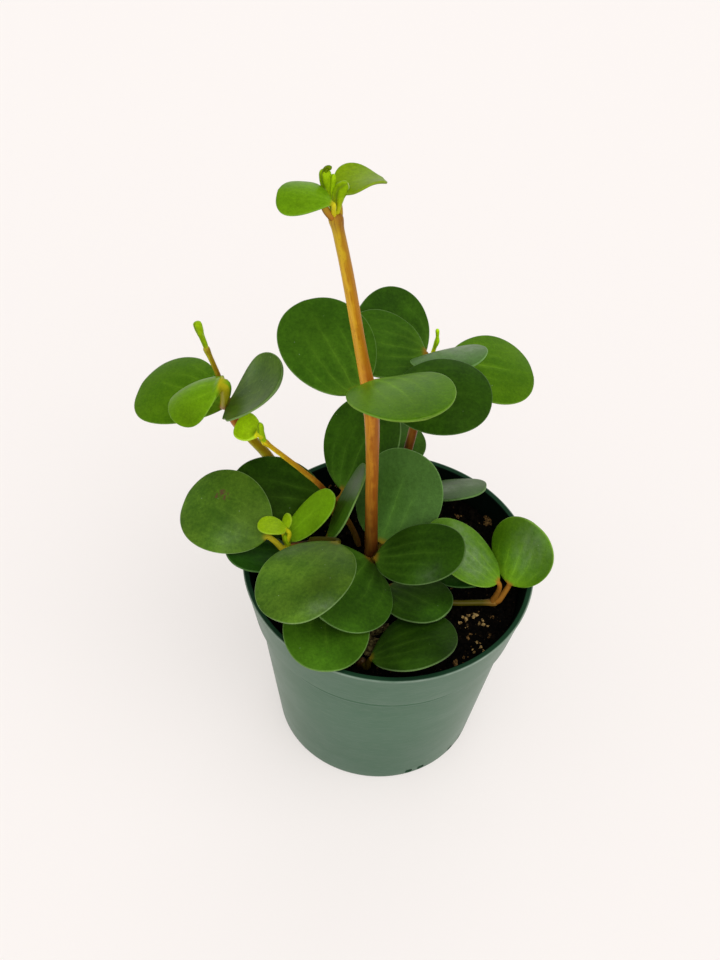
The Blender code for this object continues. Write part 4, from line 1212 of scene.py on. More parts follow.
@dataclass
class Stems:
    """The eight stems, each with its own run of colours; the near-black stops are painted shade under the
    leaves.
    """

    stems: dict[str, Stem] = field(default_factory=lambda: {
        # The near-black foot is painted shade under the lowest leaves
        "tall": Stem(STEM_KNOTS["tall"], StemFinish((
            (0.0, (0.05, 0.018, 0.004)), (0.12, (0.14, 0.055, 0.008)), (0.30, (0.44, 0.175, 0.014)),
            (0.55, (0.62, 0.26, 0.018)), (0.78, (0.70, 0.38, 0.02)), (0.97, (0.56, 0.38, 0.01)),
            (1.0, (0.46, 0.24, 0.02)))), ((2, 0.10), (5, 0.14), (8, 0.25))),
        "left_middle": Stem(STEM_KNOTS["left_middle"], StemFinish((
            (0.0, (0.13, 0.08, 0.01)), (0.3, (0.30, 0.18, 0.014)), (0.45, AMBER), (0.6, (0.66, 0.38, 0.025)),
            (0.85, (0.80, 0.62, 0.02)), (1.0, (0.85, 0.76, 0.01)))), ((2, 0.15), (6, 0.45))),
        "left_rear": Stem(STEM_KNOTS["left_rear"], StemFinish((
            (0.0, BROWN_FOOT), (0.30, (0.34, 0.30, 0.012)), (0.50, (0.50, 0.44, 0.012)), (0.62, AMBER),
            (0.70, RUST), (0.76, AMBER), (0.90, (0.50, 0.40, 0.02)), (1.0, YELLOW_GREEN))),
            ((6, 0.12), (8, 0.25))),
        "back": Stem(STEM_KNOTS["back"], StemFinish((
            (0.0, BROWN_FOOT), (0.5, (0.26, 0.10, 0.014)), (1.0, (0.32, 0.17, 0.014)))),
            ((1, 0.1), (5, 0.15))),
        # Near-black low down: painted shade under the leaves
        "left_low": Stem(STEM_KNOTS["left_low"], StemFinish((
            (0.0, (0.04, 0.03, 0.008)), (0.75, (0.06, 0.045, 0.01)), (0.92, (0.46, 0.24, 0.03)),
            (1.0, (0.50, 0.40, 0.02)))), ((2, 0.1), (4, 0.25))),
        # Dark but for its end: painted shade under the leaves
        "right": Stem(STEM_KNOTS["right"], StemFinish((
            (0.0, (0.04, 0.02, 0.004)), (0.2, (0.06, 0.05, 0.002)), (0.8, (0.085, 0.075, 0.002)),
            (1.0, (0.40, 0.20, 0.03)))), ((5, 0.25),)),
        # The front and front_low stems are near-black: painted shade low among the leaves
        "front": Stem(STEM_KNOTS["front"], StemFinish((
            (0.0, (0.02, 0.012, 0.004)), (1.0, (0.05, 0.04, 0.008)))), ((2, 0.1), (3, 0.2))),
        "front_low": Stem(STEM_KNOTS["front_low"], StemFinish((
            (0.0, (0.008, 0.005, 0.002)), (1.0, (0.012, 0.010, 0.003)))), ((2, 0.2),)),
    })

    def build(self) -> None:
        """Build every stem."""
        for name, stem in self.stems.items():
            mesh = join_skins(f"stem_{name}_skin", [stem.skin()])
            place_piece(f"stem_{name}_fine", mesh, stem.finish.dress(f"stem_{name}_finish"), "stem",
                        f"stem_{name}")


@dataclass(frozen=True)
class Bud:
    """A rolled bud: a round tube along a smooth path, dressed as a leaf.

    knots: (x, y, z, radius) from its foot to its point
    stalk_share: how much of it has the stalk's colour; fold: how deep its fold is
    light: how bright it is, partly painted shade; pale: how pale its point is on one side; red: how red its
    stalk is
    """

    knots: tuple[Knot, ...]
    stalk_share: float = 0.15
    fold: float = 0.12
    light: float = 1.0
    pale: float = 0.0
    red: float = 0.0

    AROUND: ClassVar[int] = 40
    PER_SPAN: ClassVar[int] = 12
    GUIDE: ClassVar[Point] = (1.0, 0.2, 0.1)
    POINT_SHARE: ClassVar[float] = 0.12
    LEAST_SHARE: ClassVar[float] = 0.0004
    # The seam of the fold: where it is round the bud, how far it twists, how wide it is and how much painted
    # shade darkens it
    SEAM_TURN: ClassVar[float] = 0.9 * math.pi
    SEAM_TWIST: ClassVar[float] = 0.8
    SEAM_WIDTH: ClassVar[float] = 0.35
    SEAM_SHADE: ClassVar[float] = 0.45

    def skin(self) -> Skin:
        """Work out the bud's rings: circles square to the path with one lengthwise fold.

        The radius is the path's, less the fold's depth times exp(-(angle / seam width)^2) at the
        seam, and it closes to a point as the 0.4th power of what is left of the last stretch.

        Returns:
            The bud as one closed skin with a leaf's traits.
        """
        rows = smooth_path(self.knots, self.PER_SPAN)
        centres, radii = rows[:, :3], rows[:, 3]
        ahead = unit_rows(np.gradient(centres, axis=0))
        share = np.linspace(0, 1, len(centres))
        radii = radii * np.sqrt(np.clip((1 - share) / self.POINT_SHARE, self.LEAST_SHARE, 1)) ** 0.8
        across = unit_rows(np.cross(ahead, self.GUIDE))
        turn = full_turn(self.AROUND)
        seam = fading(turn - self.SEAM_TURN + self.SEAM_TWIST * share[:, None], self.SEAM_WIDTH)
        rings = tube(centres, across, np.cross(ahead, across), radii[:, None] * (1 - self.fold * seam))
        stalk = 1 - smooth_step(share, 0.0, self.stalk_share)[:, None]
        sheen_and_pale = self.pale * smooth_step(share, 0.7, 0.9)[:, None] * smooth_step(-np.sin(turn), 0.3, 0.8)
        shape = rings.shape[:2]
        traits = {
            "blade": trait_rows(shape, share[:, None], np.cos(turn), 3 * radii[:, None]),
            "edge": trait_rows(shape, (1 - seam) * 0.9 + 0.1, Leaf.FAR),
            "join": trait_rows(shape, stalk, self.red),
            "shade": trait_rows(shape, self.light * (1 - self.SEAM_SHADE * seam), sheen_and_pale),
        }
        return Skin(rings, traits)


@dataclass
class Tips:
    """The five growing tips, each of buds, rolled leaves and small leaves."""

    buds: dict[str, tuple[Bud, ...]] = field(default_factory=lambda: {
        "tip_tall": (
            Bud(((-23.8, -3, 233.5, 0.9), (-24.3, -2.5, 235.5, 1.0), (-25.9, 0.1, 238, 1.1),
                 (-26.9, 1.2, 241.2, 1.7), (-27.4, 1.3, 244.3, 1.7), (-27.4, 1.2, 245.9, 1.2)),
                0.4, 0.28, light=0.92),
            Bud(((-27.5, 0.9, 244.6, 0.8), (-27.3, 1.2, 246, 0.75), (-26.5, 1.3, 246.6, 0.7),
                 (-25.7, 1.2, 246.3, 0.6)), 0.0, 0.3, light=0.4),
            Bud(((-24.3, -2.4, 235.5, 0.7), (-25.3, -0.4, 238.3, 0.8), (-25.4, 0.8, 241.5, 1.0),
                 (-25.1, 0.9, 245, 0.9)), 0.2, 0.25, light=1.1),
            Bud(((-23.7, -3, 234, 0.8), (-23.5, -2, 236.8, 1.2), (-23.3, -0.8, 239.4, 1.8),
                 (-22.6, 0, 241.0, 2.0), (-21.7, 0.2, 242.2, 1.5), (-21.1, 0.2, 242.8, 1.0)),
                0.45, 0.3, light=0.85, pale=0.75),
            Bud(((-24.2, -3.4, 232.6, 0.7), (-25.2, -4.5, 235, 0.9), (-26.3, -5.3, 237.6, 1.05),
                 (-27.0, -5.7, 240, 0.9)), 3.0, 0.1, light=1.3, red=1.0),
        ),
        "tip_left_rear": (
            Bud(((-65.1, 18.6, 159.4, 0.8), (-65.6, 18.6, 161.5, 0.9), (-66.5, 18.5, 164.8, 1.0),
                 (-67.1, 18.5, 167.2, 1.35), (-67.6, 18.5, 169.4, 1.4), (-67.8, 18.5, 170.3, 1.0)),
                0.2, 0.3, light=0.9),
            Bud(((-65.4, 18.6, 161, 0.6), (-66.2, 18.2, 164, 0.7), (-66.8, 17.6, 166.4, 0.9),
                 (-67.1, 17.5, 168.2, 0.6)), 0.1, 0.15, light=0.9),
        ),
        "tip_left_middle": (
            Bud(((-44.2, 1.9, 136.4, 0.9), (-44.8, 1.6, 138.6, 1.2), (-45.2, 1.2, 141.4, 1.2),
                 (-45.2, 1, 143.8, 1.1), (-45.4, 1, 145.8, 0.7)), 0.1, 0.2),
        ),
        "tip_back": (
            Bud(((7.1, 28.4, 154.4, 0.9), (7.8, 28, 160, 0.65), (8.4, 27.6, 163.6, 0.85),
                 (8.4, 27.4, 166, 0.55), (8.2, 27.2, 168.5, 0.65), (8.1, 27.1, 169.6, 0.45)),
                0.3, 0.08, light=1.7),
        ),
        "tip_left_low": (
            Bud(((-34.7, -7.2, 95, 0.8), (-34.9, -7, 96.4, 1.0), (-35.6, -6.9, 98.6, 1.1),
                 (-36.2, -6.9, 100.2, 0.7)), 0.5, 0.15, light=0.9),
        ),
    })
    leaves: dict[str, tuple[Leaf, ...]] = field(default_factory=lambda: {
        "tip_left_middle": (
            Leaf("left_middle", 6, (-45.8, 1.2, 140.7), 140, -5, -34, 9.5, 10.5, -35, -45,
                 start=(-44.4, 1.8, 136.8), tone=Tone.LIME, red=0.0, light=1.35, stalk_radius=0.8, funnel=0.5,
                 trail=0.2, wave=0.1, shades=((0.12, 0.1, 1.3, -0.45), (0.65, 0, 3, 0.12))),
        ),
        "tip_left_low": (
            Leaf("left_low", 4, (-35.5, -6.7, 102.9), 181, 9, 9, 10, 9, 32, -12, start=(-34.9, -7, 96),
                 tone=Tone.LIME, red=0.0, light=0.9, stalk_radius=0.7, wave=0.1),
            Leaf("left_low", 4, (-36.6, -5.2, 101), 60, 62, -20, 6.5, 4.5, 10, 20, start=(-35, -7, 96.2),
                 tone=Tone.LIME, red=0.0, light=0.9, stalk_radius=0.6, wave=0.05),
        ),
    })

    def build(self) -> None:
        """Build every tip as one piece."""
        finish = Tone.LIME.value.dress("tip_finish")
        for name, buds in self.buds.items():
            skins = [bud.skin() for bud in buds] + [leaf.skin() for leaf in self.leaves.get(name, ())]
            place_piece(f"{name}_fine", join_skins(f"{name}_skin", skins), finish, "tip", name)


@dataclass(frozen=True)
class PotFinish:
    """Thin moulded plastic: green, and hazier outside, with a painted pale reflection that is strongest at
    the sides.
    """

    outside: Colour
    haze_and_sheen: Colour
    # The near-black green painted on the lip's top as shade
    lip: Colour = (0.010, 0.041, 0.018)
    # The pale colour of scratches and dots, and of the painted highlight on the lip's edge
    scuff_and_highlight: Colour = (0.36, 0.42, 0.36)
    roughness: float = 0.48
    gloss: float = 0.16
    sheen: float = 0.10

    def dress(self, name: str) -> bpy.types.Material:
        """Build the material.

        The pot's points keep "wall": 1 on the lip's thin edge, which gets a painted highlight, 1 where
        the wall faces the front, where the painted reflection of the sides fades, and 1 on the lip's
        top, which is painted near-black as shade. They keep "foot" too, 1 low down in front, where
        painted shade darkens the plastic. The plastic's haziness and the painted reflection lie in long
        level bands and soft blotches, with a few fine scratches.

        Args:
            name: the material's name.

        Returns:
            The material.
        """
        board = Board(name)
        place = board.place()
        edge, front, lip = board.trait("wall")
        foot, _, _ = board.trait("foot")
        band = board.noise(board.vector("MULTIPLY", place, (0.25, 0.25, 1.0)), 7.0, 3.0)
        blotch = board.noise(place, 16.0, 4.0)
        grain = board.noise(board.vector("MULTIPLY", place, (0.6, 0.6, 6.0)), 2.5, 3.0)
        haze_and_sheen = (band * 0.45 + blotch * 0.55).rise(0.36, 0.68)
        # Pale over the green, less where the wall faces the front: the plastic's own haziness and a painted
        # reflection strongest at the sides
        colour = board.mix((haze_and_sheen * 0.30 + 0.38) * (1 - front * 0.85), self.outside, self.haze_and_sheen)
        colour = board.mix(grain.rise(0.45, 0.75) * 0.22, colour, self.haze_and_sheen)
        scratches = board.specks(board.vector("MULTIPLY", place, (1.0, 1.0, 0.35)), 7.0, 0.35, 0.16)
        dots = board.specks(place, 3.0, 0.16, 0.05)
        colour = board.mix(scratches.most(dots) * 0.55, colour, self.scuff_and_highlight)
        # Painted shade: darker low down in front
        colour = board.scale(colour, 1 - foot * 0.10)
        # Painted shade: the lip's top turns near-black
        colour = board.mix(lip * 0.9, colour, self.lip)
        # Painted highlight: the lip's thin outer edge turns pale, unevenly
        edge_highlight = edge * blotch.rise(0.35, 0.65)
        colour = board.mix(edge_highlight * 0.45 + edge * 0.25, colour, self.scuff_and_highlight)
        relief = grain * 0.5 + board.noise(place, 0.5, 2.0) * 0.3
        roughness = self.roughness + (haze_and_sheen - 0.5) * 0.14
        return board.finish(colour, roughness, relief, 0.05, self.gloss, sheen=self.sheen)


@dataclass
class Pot:
    """The round nursery pot: a tapered wall, a thicker collar, a thin lip and drain notches.

    foot_inset: how wide the ring is that the pot stands on; recess: the raised middle inside it
    line: the fine line round the wall, its distance under the collar, its reach and its depth
    notch_azimuths: the notches of one group, in degrees from +X towards +Y
    """

    rim_radius: float = 51.0
    height: float = 84.0
    base_radius: float = 37.0
    wall: float = 1.2
    floor: float = 1.6
    collar_height: float = 19.5
    collar_step: float = 1.5
    collar_bottom_radius: float = 47.3
    collar_inner_radius: float = 45.3
    collar_inner_step: float = 1.5
    lip_width: float = 2.2
    lip_edge: float = 0.6
    lip_flare_width: float = 0.4
    lip_flare_height: float = 0.8
    notch_azimuths: tuple[float, ...] = (-66.0, -58.5, -36.5, -27.0, -13.0)
    notch_groups: int = 2
    notch_width: float = 2.6
    notch_low: float = 0.9
    notch_high: float = 3.4
    notch_depth: float = 6.0
    notch_corner: float = 0.7
    recess_inset: float = 7.0
    recess_height: float = 0.9
    foot_inset: float = 5.6
    line_drop: float = 3.6
    line_reach: float = 0.6
    line_depth: float = 0.12
    around: int = 224
    outside: PotFinish = PotFinish((0.038, 0.112, 0.057), (0.150, 0.205, 0.148))
    # The inside and the lip's top are near-black: painted shade
    inside: PotFinish = PotFinish(
        (0.001, 0.003, 0.0018), (0.003, 0.007, 0.004), roughness=0.6, gloss=0.03, sheen=0.0)

    ROUNDING_POINTS: ClassVar[int] = 6
    LONGEST_STEP: ClassVar[float] = 4.0
    NOTCH_POINTS: ClassVar[int] = 24
    SHARP_ANGLE: ClassVar[float] = 40.0
    # How soon the edge trait fades, across and down, where the front starts, and the heights of the painted
    # shade low in front
    EDGE_WIDTH: ClassVar[float] = 0.35
    EDGE_HEIGHT: ClassVar[float] = 0.5
    FRONT_START: ClassVar[float] = 0.45
    FOOT_HEIGHTS: ClassVar[Span] = (12.0, 50.0)
    # How near its top a point or a face's middle is on the lip
    POINT_GAP: ClassVar[float] = 0.05
    FACE_GAP: ClassVar[float] = 0.1

    def wall_radius(self, height: float) -> float:
        """Return the outer radius of the plain wall at a height, growing evenly up to the collar."""
        share = height / (self.height - self.collar_height)
        return self.base_radius + (self.collar_bottom_radius - self.collar_step - self.base_radius) * share

    def profile(self) -> np.ndarray:
        """Work out the pot's outline, round the outside and down the inside.

        Each corner is rounded by a quadratic curve between points a set distance before and after
        it, and the straight runs between them are cut into short steps.

        Returns:
            The outline as rows of (radius, height).
        """
        collar_bottom = self.height - self.collar_height
        line = collar_bottom - self.line_drop
        line_low, line_high = line - self.line_reach, line + self.line_reach
        # Each corner as (radius, height, distance that its rounding reaches)
        corners = (
            (self.base_radius - self.recess_inset, self.recess_height, 0.4),
            (self.base_radius - self.foot_inset, 0.0, 0.4),
            (self.base_radius, 0.0, 1.0),
            (self.wall_radius(line_low), line_low, 0.15),
            (self.wall_radius(line) + self.line_depth, line, 0.2),
            (self.wall_radius(line_high), line_high, 0.15),
            (self.collar_bottom_radius - self.collar_step, collar_bottom - 0.2, 0.35),
            (self.collar_bottom_radius, collar_bottom + 0.1, 0.4),
            (self.rim_radius - self.lip_flare_width, self.height - self.lip_flare_height - 0.4, 0.3),
            (self.rim_radius, self.height - 0.5, 0.25),
            (self.rim_radius - 0.1, self.height, 0.25),
            (self.rim_radius - self.lip_edge, self.height, 0.1),
            (self.rim_radius - self.lip_width, self.height, 0.5),
            (self.collar_inner_radius, collar_bottom + self.collar_inner_step, 0.6),
            (self.wall_radius(collar_bottom) - self.wall, collar_bottom - 0.3, 0.4),
            (self.wall_radius(self.floor) - self.wall, self.floor, 0.8),
        )
        corner_points = np.array([corner[:2] for corner in corners])
        rounding = [corner[2] for corner in corners]
        ends = np.vstack([[0, self.recess_height], corner_points, [0, self.floor]])
        rows = []
        for number, radius in enumerate(rounding):
            before, corner, after = ends[number:number + 3]
            enter = corner + unit(before - corner) * radius
            leave = corner + unit(after - corner) * radius
            t = np.linspace(0, 1, self.ROUNDING_POINTS)[:, None]
            rows.append((1 - t)**2 * enter + 2 * t * (1 - t) * corner + t**2 * leave)
        outline = [rows[0]]
        for previous, following in zip(rows, rows[1:]):
            gap = np.linalg.norm(following[0] - previous[-1])
            steps = max(int(gap / self.LONGEST_STEP), 1)
            share = np.linspace(0, 1, steps + 1)[1:-1, None]
            outline.append(previous[-1] + (following[0] - previous[-1]) * share)
            outline.append(following)
        return np.vstack(outline)

    def skin(self) -> Skin:
        """Turn the outline round the Z axis.

        Returns:
            The pot without its notches as one closed skin.
        """
        outline = self.profile()
        turn = full_turn(self.around)
        radius, height = outline[:, :1], outline[:, 1:]
        fill = np.ones((len(outline), self.around))
        rings = np.stack([radius * np.cos(turn), radius * np.sin(turn), height * fill], axis=-1)
        return Skin(rings)

    def traits(self, mesh: bpy.types.Mesh) -> Traits:
        """Work out the wall's traits from where its points are.

        The thin edge fades as exp(-(gap / width)^2) with the gap to the rim. A point faces the
        front where -y is more than the front's start times its radius, and squarely where -y is
        the whole radius.

        Args:
            mesh: the pot's finished mesh, in metres.

        Returns:
            The traits "wall" and "foot", one row a point.
        """
        places = np.empty(len(mesh.vertices) * 3, np.float32)
        mesh.vertices.foreach_get("co", places)
        x, y, height = (places.reshape(-1, 3) / METRES_PER_MM).T
        radius = np.hypot(x, y)
        across, down = (radius - self.rim_radius) / self.EDGE_WIDTH, (height - self.height) / self.EDGE_HEIGHT
        edge = np.exp(-across**2 - down**2)
        front = smooth_step(-y / np.maximum(radius, 1), self.FRONT_START, 1.0)
        lip = (height > self.height - self.POINT_GAP) & (radius < self.rim_radius - self.lip_edge * 0.7)
        low, high = self.FOOT_HEIGHTS
        # Where painted shade darkens the wall low down in front
        foot = front * smooth_step(-height, -high, -low)
        return {"wall": trait_rows(foot.shape, edge, front, lip), "foot": trait_rows(foot.shape, foot)}

    def inner_faces(self, mesh: bpy.types.Mesh) -> np.ndarray:
        """Find the faces that line the inside or lie on the lip, by their middles.

        Args:
            mesh: the pot's finished mesh, in metres.

        Returns:
            True for each such face.
        """
        middles = np.empty(len(mesh.polygons) * 3, np.float32)
        mesh.polygons.foreach_get("center", middles)
        x, y, z = middles.reshape(-1, 3).T / METRES_PER_MM
        radius = np.hypot(x, y)
        collar_bottom = self.height - self.collar_height
        heights = (0, collar_bottom, collar_bottom + self.FACE_GAP, self.height)
        radii = (self.base_radius, self.wall_radius(collar_bottom), self.collar_bottom_radius,
                 self.rim_radius)
        outer = np.interp(z, heights, radii)
        lined = (radius < outer - self.wall / 2) & (z > self.floor - self.FACE_GAP)
        return lined | ((z > self.height - self.FACE_GAP) & (radius < self.rim_radius - self.lip_edge))

    def notch_cutter(self, azimuth: float) -> bpy.types.Object:
        """Make a hidden block with rounded corners that opens one notch through the wall.

        Its outline across the wall is a rounded box: a circle of the corner's radius moved to the
        four corners of the inner box.

        Args:
            azimuth: where the notch is, in degrees from +X towards +Y.

        Returns:
            The cutter.
        """
        turn = full_turn(self.NOTCH_POINTS) + math.radians(180 / self.NOTCH_POINTS)
        half_wide = self.notch_width / 2 - self.notch_corner
        half_tall = (self.notch_high - self.notch_low) / 2 - self.notch_corner
        side = np.sign(np.cos(turn)) * half_wide + self.notch_corner * np.cos(turn)
        lift = np.sign(np.sin(turn)) * half_tall + self.notch_corner * np.sin(turn)
        angle = math.radians(azimuth)
        outward = np.array([math.cos(angle), math.sin(angle), 0])
        sideways = np.array([-math.sin(angle), math.cos(angle), 0])
        middle = np.array([0, 0, (self.notch_low + self.notch_high) / 2])
        depths = self.base_radius + np.array([-0.5, 0.5]) * self.notch_depth
        rings = middle + depths[:, None, None] * outward
        rings = rings + side[None, :, None] * sideways + lift[None, :, None] * np.array([0, 0, 1])
        mesh = join_skins("notch_cutter", [Skin(rings)])
        cutter = bpy.data.objects.new("notch_cutter", mesh)
        cutter.hide_render = True
        return cutter

    def build(self) -> None:
        """Build the pot, cut its drain notches and apply the cut."""
        mesh = join_skins("pot_turned", [self.skin()])
        blank = bpy.data.objects.new("pot_blank", mesh)
        bpy.context.scene.collection.objects.link(blank)
        gathered = bpy.data.collections.new("notch_cutters")
        bpy.context.scene.collection.children.link(gathered)
        for group in range(self.notch_groups):
            for azimuth in self.notch_azimuths:
                gathered.objects.link(self.notch_cutter(azimuth + group * 360 / self.notch_groups))
        cut = blank.modifiers.new("drain_notches", "BOOLEAN")
        cut.operation, cut.operand_type, cut.solver = "DIFFERENCE", "COLLECTION", "EXACT"
        cut.collection = gathered
        graph = bpy.context.evaluated_depsgraph_get()
        finished = bpy.data.meshes.new_from_object(blank.evaluated_get(graph))
        for cutter in list(gathered.objects):
            bpy.data.objects.remove(cutter)
        bpy.data.collections.remove(gathered)
        bpy.data.objects.remove(blank)
        keep_traits(finished, self.traits(finished))
        finished.shade_smooth()
        finished.set_sharp_from_angle(angle=math.radians(self.SHARP_ANGLE))
        place_piece("pot_fine", finished, self.outside.dress("pot_plastic"), "pot", "pot")
        # The inside and the lip's top take the near-black finish, painted shade
        finished.materials.append(self.inside.dress("pot_lining"))
        finished.polygons.foreach_set("material_index", self.inner_faces(finished).astype(np.int32))


@dataclass(frozen=True)
class EarthFinish:
    """Potting mix, bark, perlite or a dry scrap: a rough, mottled, dull skin."""

    dark: Colour
    light: Colour
    fleck: Colour
    blotch: float = 1.2
    flecks: float = 0.3
    roughness: float = 0.92
    gloss: float = 0.04
    depth: float = 0.25

    def dress(self, name: str) -> bpy.types.Material:
        """Build the material from noise at three sizes and scattered flecks.

        Args:
            name: the material's name.

        Returns:
            The material.
        """
        board = Board(name)
        place = board.place()
        patch = board.noise(place, self.blotch, 4.0)
        fine = board.noise(place, self.blotch * 0.22, 3.0)
        colour = board.mix(patch.rise(0.38, 0.68), self.dark, self.light)
        flecks = board.specks(place, self.blotch * 0.9, self.blotch * 0.25, self.flecks)
        colour = board.mix(flecks * 0.7, colour, self.fleck)
        colour = board.mix(fine.rise(0.50, 0.30) * 0.5, colour, self.dark)
        relief = fine * 0.6 + patch * 0.4
        return board.finish(colour, self.roughness, relief, self.depth, self.gloss)


@dataclass
class Lumps:
    """Many small rough lumps, each an icosahedron pushed out of shape, in one mesh."""

    centres: np.ndarray
    sizes: np.ndarray
    flatness: float
    seed: int
    jitter: float = 0.28

    GOLDEN: ClassVar[float] = (1 + 5**0.5) / 2

    def mesh(self, name: str) -> bpy.types.Mesh:
        """Work out all the lumps at once.

        Each lump is the twelve corners of an icosahedron, moved in and out by a seeded random
        share, stretched by three random factors, turned by a random rotation (the Q of a QR
        split of a random matrix) and put at its centre.

        Args:
            name: the mesh's name.

        Returns:
            The mesh, twenty faces a lump, shaded flat.
        """
        chance = np.random.default_rng(self.seed)
        g = self.GOLDEN
        corners = unit(np.array([1, g, 0]))
        a, b = corners[0], corners[1]
        twelve = np.array([
            (-a, b, 0), (a, b, 0), (-a, -b, 0), (a, -b, 0), (0, -a, b), (0, a, b),
            (0, -a, -b), (0, a, -b), (b, 0, -a), (b, 0, a), (-b, 0, -a), (-b, 0, a)])
        twenty = np.array([
            (0, 11, 5), (0, 5, 1), (0, 1, 7), (0, 7, 10), (0, 10, 11), (1, 5, 9), (5, 11, 4),
            (11, 10, 2), (10, 7, 6), (7, 1, 8), (3, 9, 4), (3, 4, 2), (3, 2, 6), (3, 6, 8),
            (3, 8, 9), (4, 9, 5), (2, 4, 11), (6, 2, 10), (8, 6, 7), (9, 8, 1)])
        count = len(self.centres)
        shape = twelve * (1 + chance.uniform(-self.jitter, self.jitter, (count, 12, 1)))
        shape = shape * chance.uniform(0.7, 1.3, (count, 1, 3))
        turns, _ = np.linalg.qr(chance.normal(size=(count, 3, 3)))
        turns = turns * np.sign(np.linalg.det(turns))[:, None, None]
        shape = np.einsum("nij,nkj->nki", turns, shape) * self.sizes[:, None, None]
        shape[..., 2] *= self.flatness
        points = (shape + self.centres[:, None]).reshape(-1, 3)
        faces = (twenty[None] + 12 * np.arange(count)[:, None, None]).reshape(-1, 3)
        mesh = make_mesh(name, points, [faces], {})
        mesh.shade_flat()
        return mesh


@dataclass
class Soil:
    """The potting mix: an uneven bed that fills the pot, with crumbs, bark, perlite and dry scraps.

    wall_dip, dip_radii: how much lower the top is by the wall, and between which radii it sinks
    wall_gap: how far from the wall the crumbs stop
    around, spread: points round the bed and circles across its top
    """

    top: float = 76.0
    top_radius: float = 46.4
    floor: float = 1.9
    floor_radius: float = 35.5
    shoulder: float = 66.5
    shoulder_radius: float = 44.2
    wall_dip: float = 1.2
    dip_radii: Span = (34.0, 46.0)
    wall_gap: float = 1.5
    crumbs: int = 2600
    chips: int = 150
    around: int = 260
    spread: int = 110
    # The bed and the crumbs are near-black: the mix's own dark brown, darkened further as painted shade under
    # the leaves
    bed: EarthFinish = EarthFinish((0.0006, 0.0005, 0.0003), (0.0034, 0.0022, 0.0012), (0.03, 0.018, 0.008))
    crumb: EarthFinish = EarthFinish(
        (0.0006, 0.0005, 0.0003), (0.0055, 0.0034, 0.0017), (0.04, 0.024, 0.010), 2.5)
    bark: EarthFinish = EarthFinish((0.035, 0.018, 0.006), (0.20, 0.11, 0.036), (0.36, 0.22, 0.08), 0.7)
    perlite: EarthFinish = EarthFinish((0.12, 0.070, 0.022), (0.46, 0.31, 0.12), (0.66, 0.50, 0.24), 0.7)
    scrap: EarthFinish = EarthFinish((0.02, 0.014, 0.005), (0.12, 0.095, 0.034), (0.27, 0.22, 0.10), 1.2)

    # The top's rolling heights, as (size, swing)
    SWELLS: ClassVar[tuple[Span, ...]] = ((17.0, 0.8), (7.0, 0.6), (3.2, 0.45), (1.6, 0.35), (0.8, 0.22))
    LATTICE_SHIFT: ClassVar[float] = 130.0
    MEAN_DROP: ClassVar[float] = 0.4
    # How far a bit's lumps scatter, as a share of its size, and how large they are in it
    BIT_SCATTER: ClassVar[float] = 0.55
    BIT_SIZES: ClassVar[Span] = (0.30, 0.65)

    # Bits that show on the soil, as (x, y, size)
    PALE_BITS: ClassVar[tuple[Point, ...]] = (
        (30.5, -15.2, 1.5), (31.6, -14.0, 0.9), (34.6, -16.6, 1.5), (27.2, -16.8, 1.3), (36.0, -17.6, 0.8),
        (33.6, -26.4, 1.1), (34.8, -28.0, 0.8), (32.2, -28.2, 0.9), (33.0, -24.6, 0.7), (28.9, -19.8, 0.6),
        (37.2, 9.0, 0.6), (24.0, 15.0, 0.7), (-22.0, 40.0, 0.8))
    BARK_BITS: ClassVar[tuple[Point, ...]] = (
        (26.5, -33.8, 1.6), (28.3, -32.6, 1.0), (23.2, 30.1, 1.5), (33.8, 30.6, 2.0), (35.2, 29.6, 1.2),
        (-25.9, 41.4, 1.6), (-24.6, 39.6, 1.0), (30.0, -23.2, 1.1), (36.4, -21.4, 1.0), (38.6, -13.6, 0.9),
        (20.0, -37.5, 0.9), (35.6, 4.0, 1.0), (28.0, 20.5, 1.0), (-36.0, 15.0, 1.3), (-14.0, 36.0, 1.2))

    def surface(self, x: np.ndarray, y: np.ndarray) -> np.ndarray:
        """Work out the soil's height: a level plus rolling heights at five sizes, lower by the wall.

        Args:
            x: places along X.
            y: places along Y.

        Returns:
            The height at each place.
        """
        height = self.top - self.MEAN_DROP
        for size, swing in self.SWELLS:
            height = height + swing * rolling(
                x + self.LATTICE_SHIFT, y + self.LATTICE_SHIFT, size, seed=int(size * 10))
        return height - self.wall_dip * smooth_step(np.hypot(x, y), *self.dip_radii)

    def bed_skin(self) -> Skin:
        """Work out the bed as circles up the pot's wall and then in across the uneven top.

        Returns:
            The bed as one closed skin.
        """
        side = ((self.floor_radius * 0.4, self.floor), (self.floor_radius, self.floor),
                (self.shoulder_radius, self.shoulder), (self.top_radius, self.top - 2.0))
        inward = self.top_radius * (1 - np.arange(1, self.spread) / self.spread)
        turn = full_turn(self.around)
        radii = np.concatenate([[radius for radius, _ in side], inward])[:, None]
        x, y = radii * np.cos(turn), radii * np.sin(turn)
        level = self.surface(x, y)
        level[:len(side)] = np.array([[height] for _, height in side])
        return Skin(np.stack([x, y, level], axis=-1))

    def lump_places(self, count: int, seed: int) -> np.ndarray:
        """Pick places spread evenly over the soil, on its surface.

        Args:
            count: how many places.
            seed: picks them.

        Returns:
            The places, one row each.
        """
        chance = np.random.default_rng(seed)
        radius = (self.top_radius - self.wall_gap) * np.sqrt(chance.uniform(0, 1, count))
        turn = chance.uniform(0, 2 * math.pi, count)
        x, y = radius * np.cos(turn), radius * np.sin(turn)
        return np.stack([x, y, self.surface(x, y)], axis=-1)

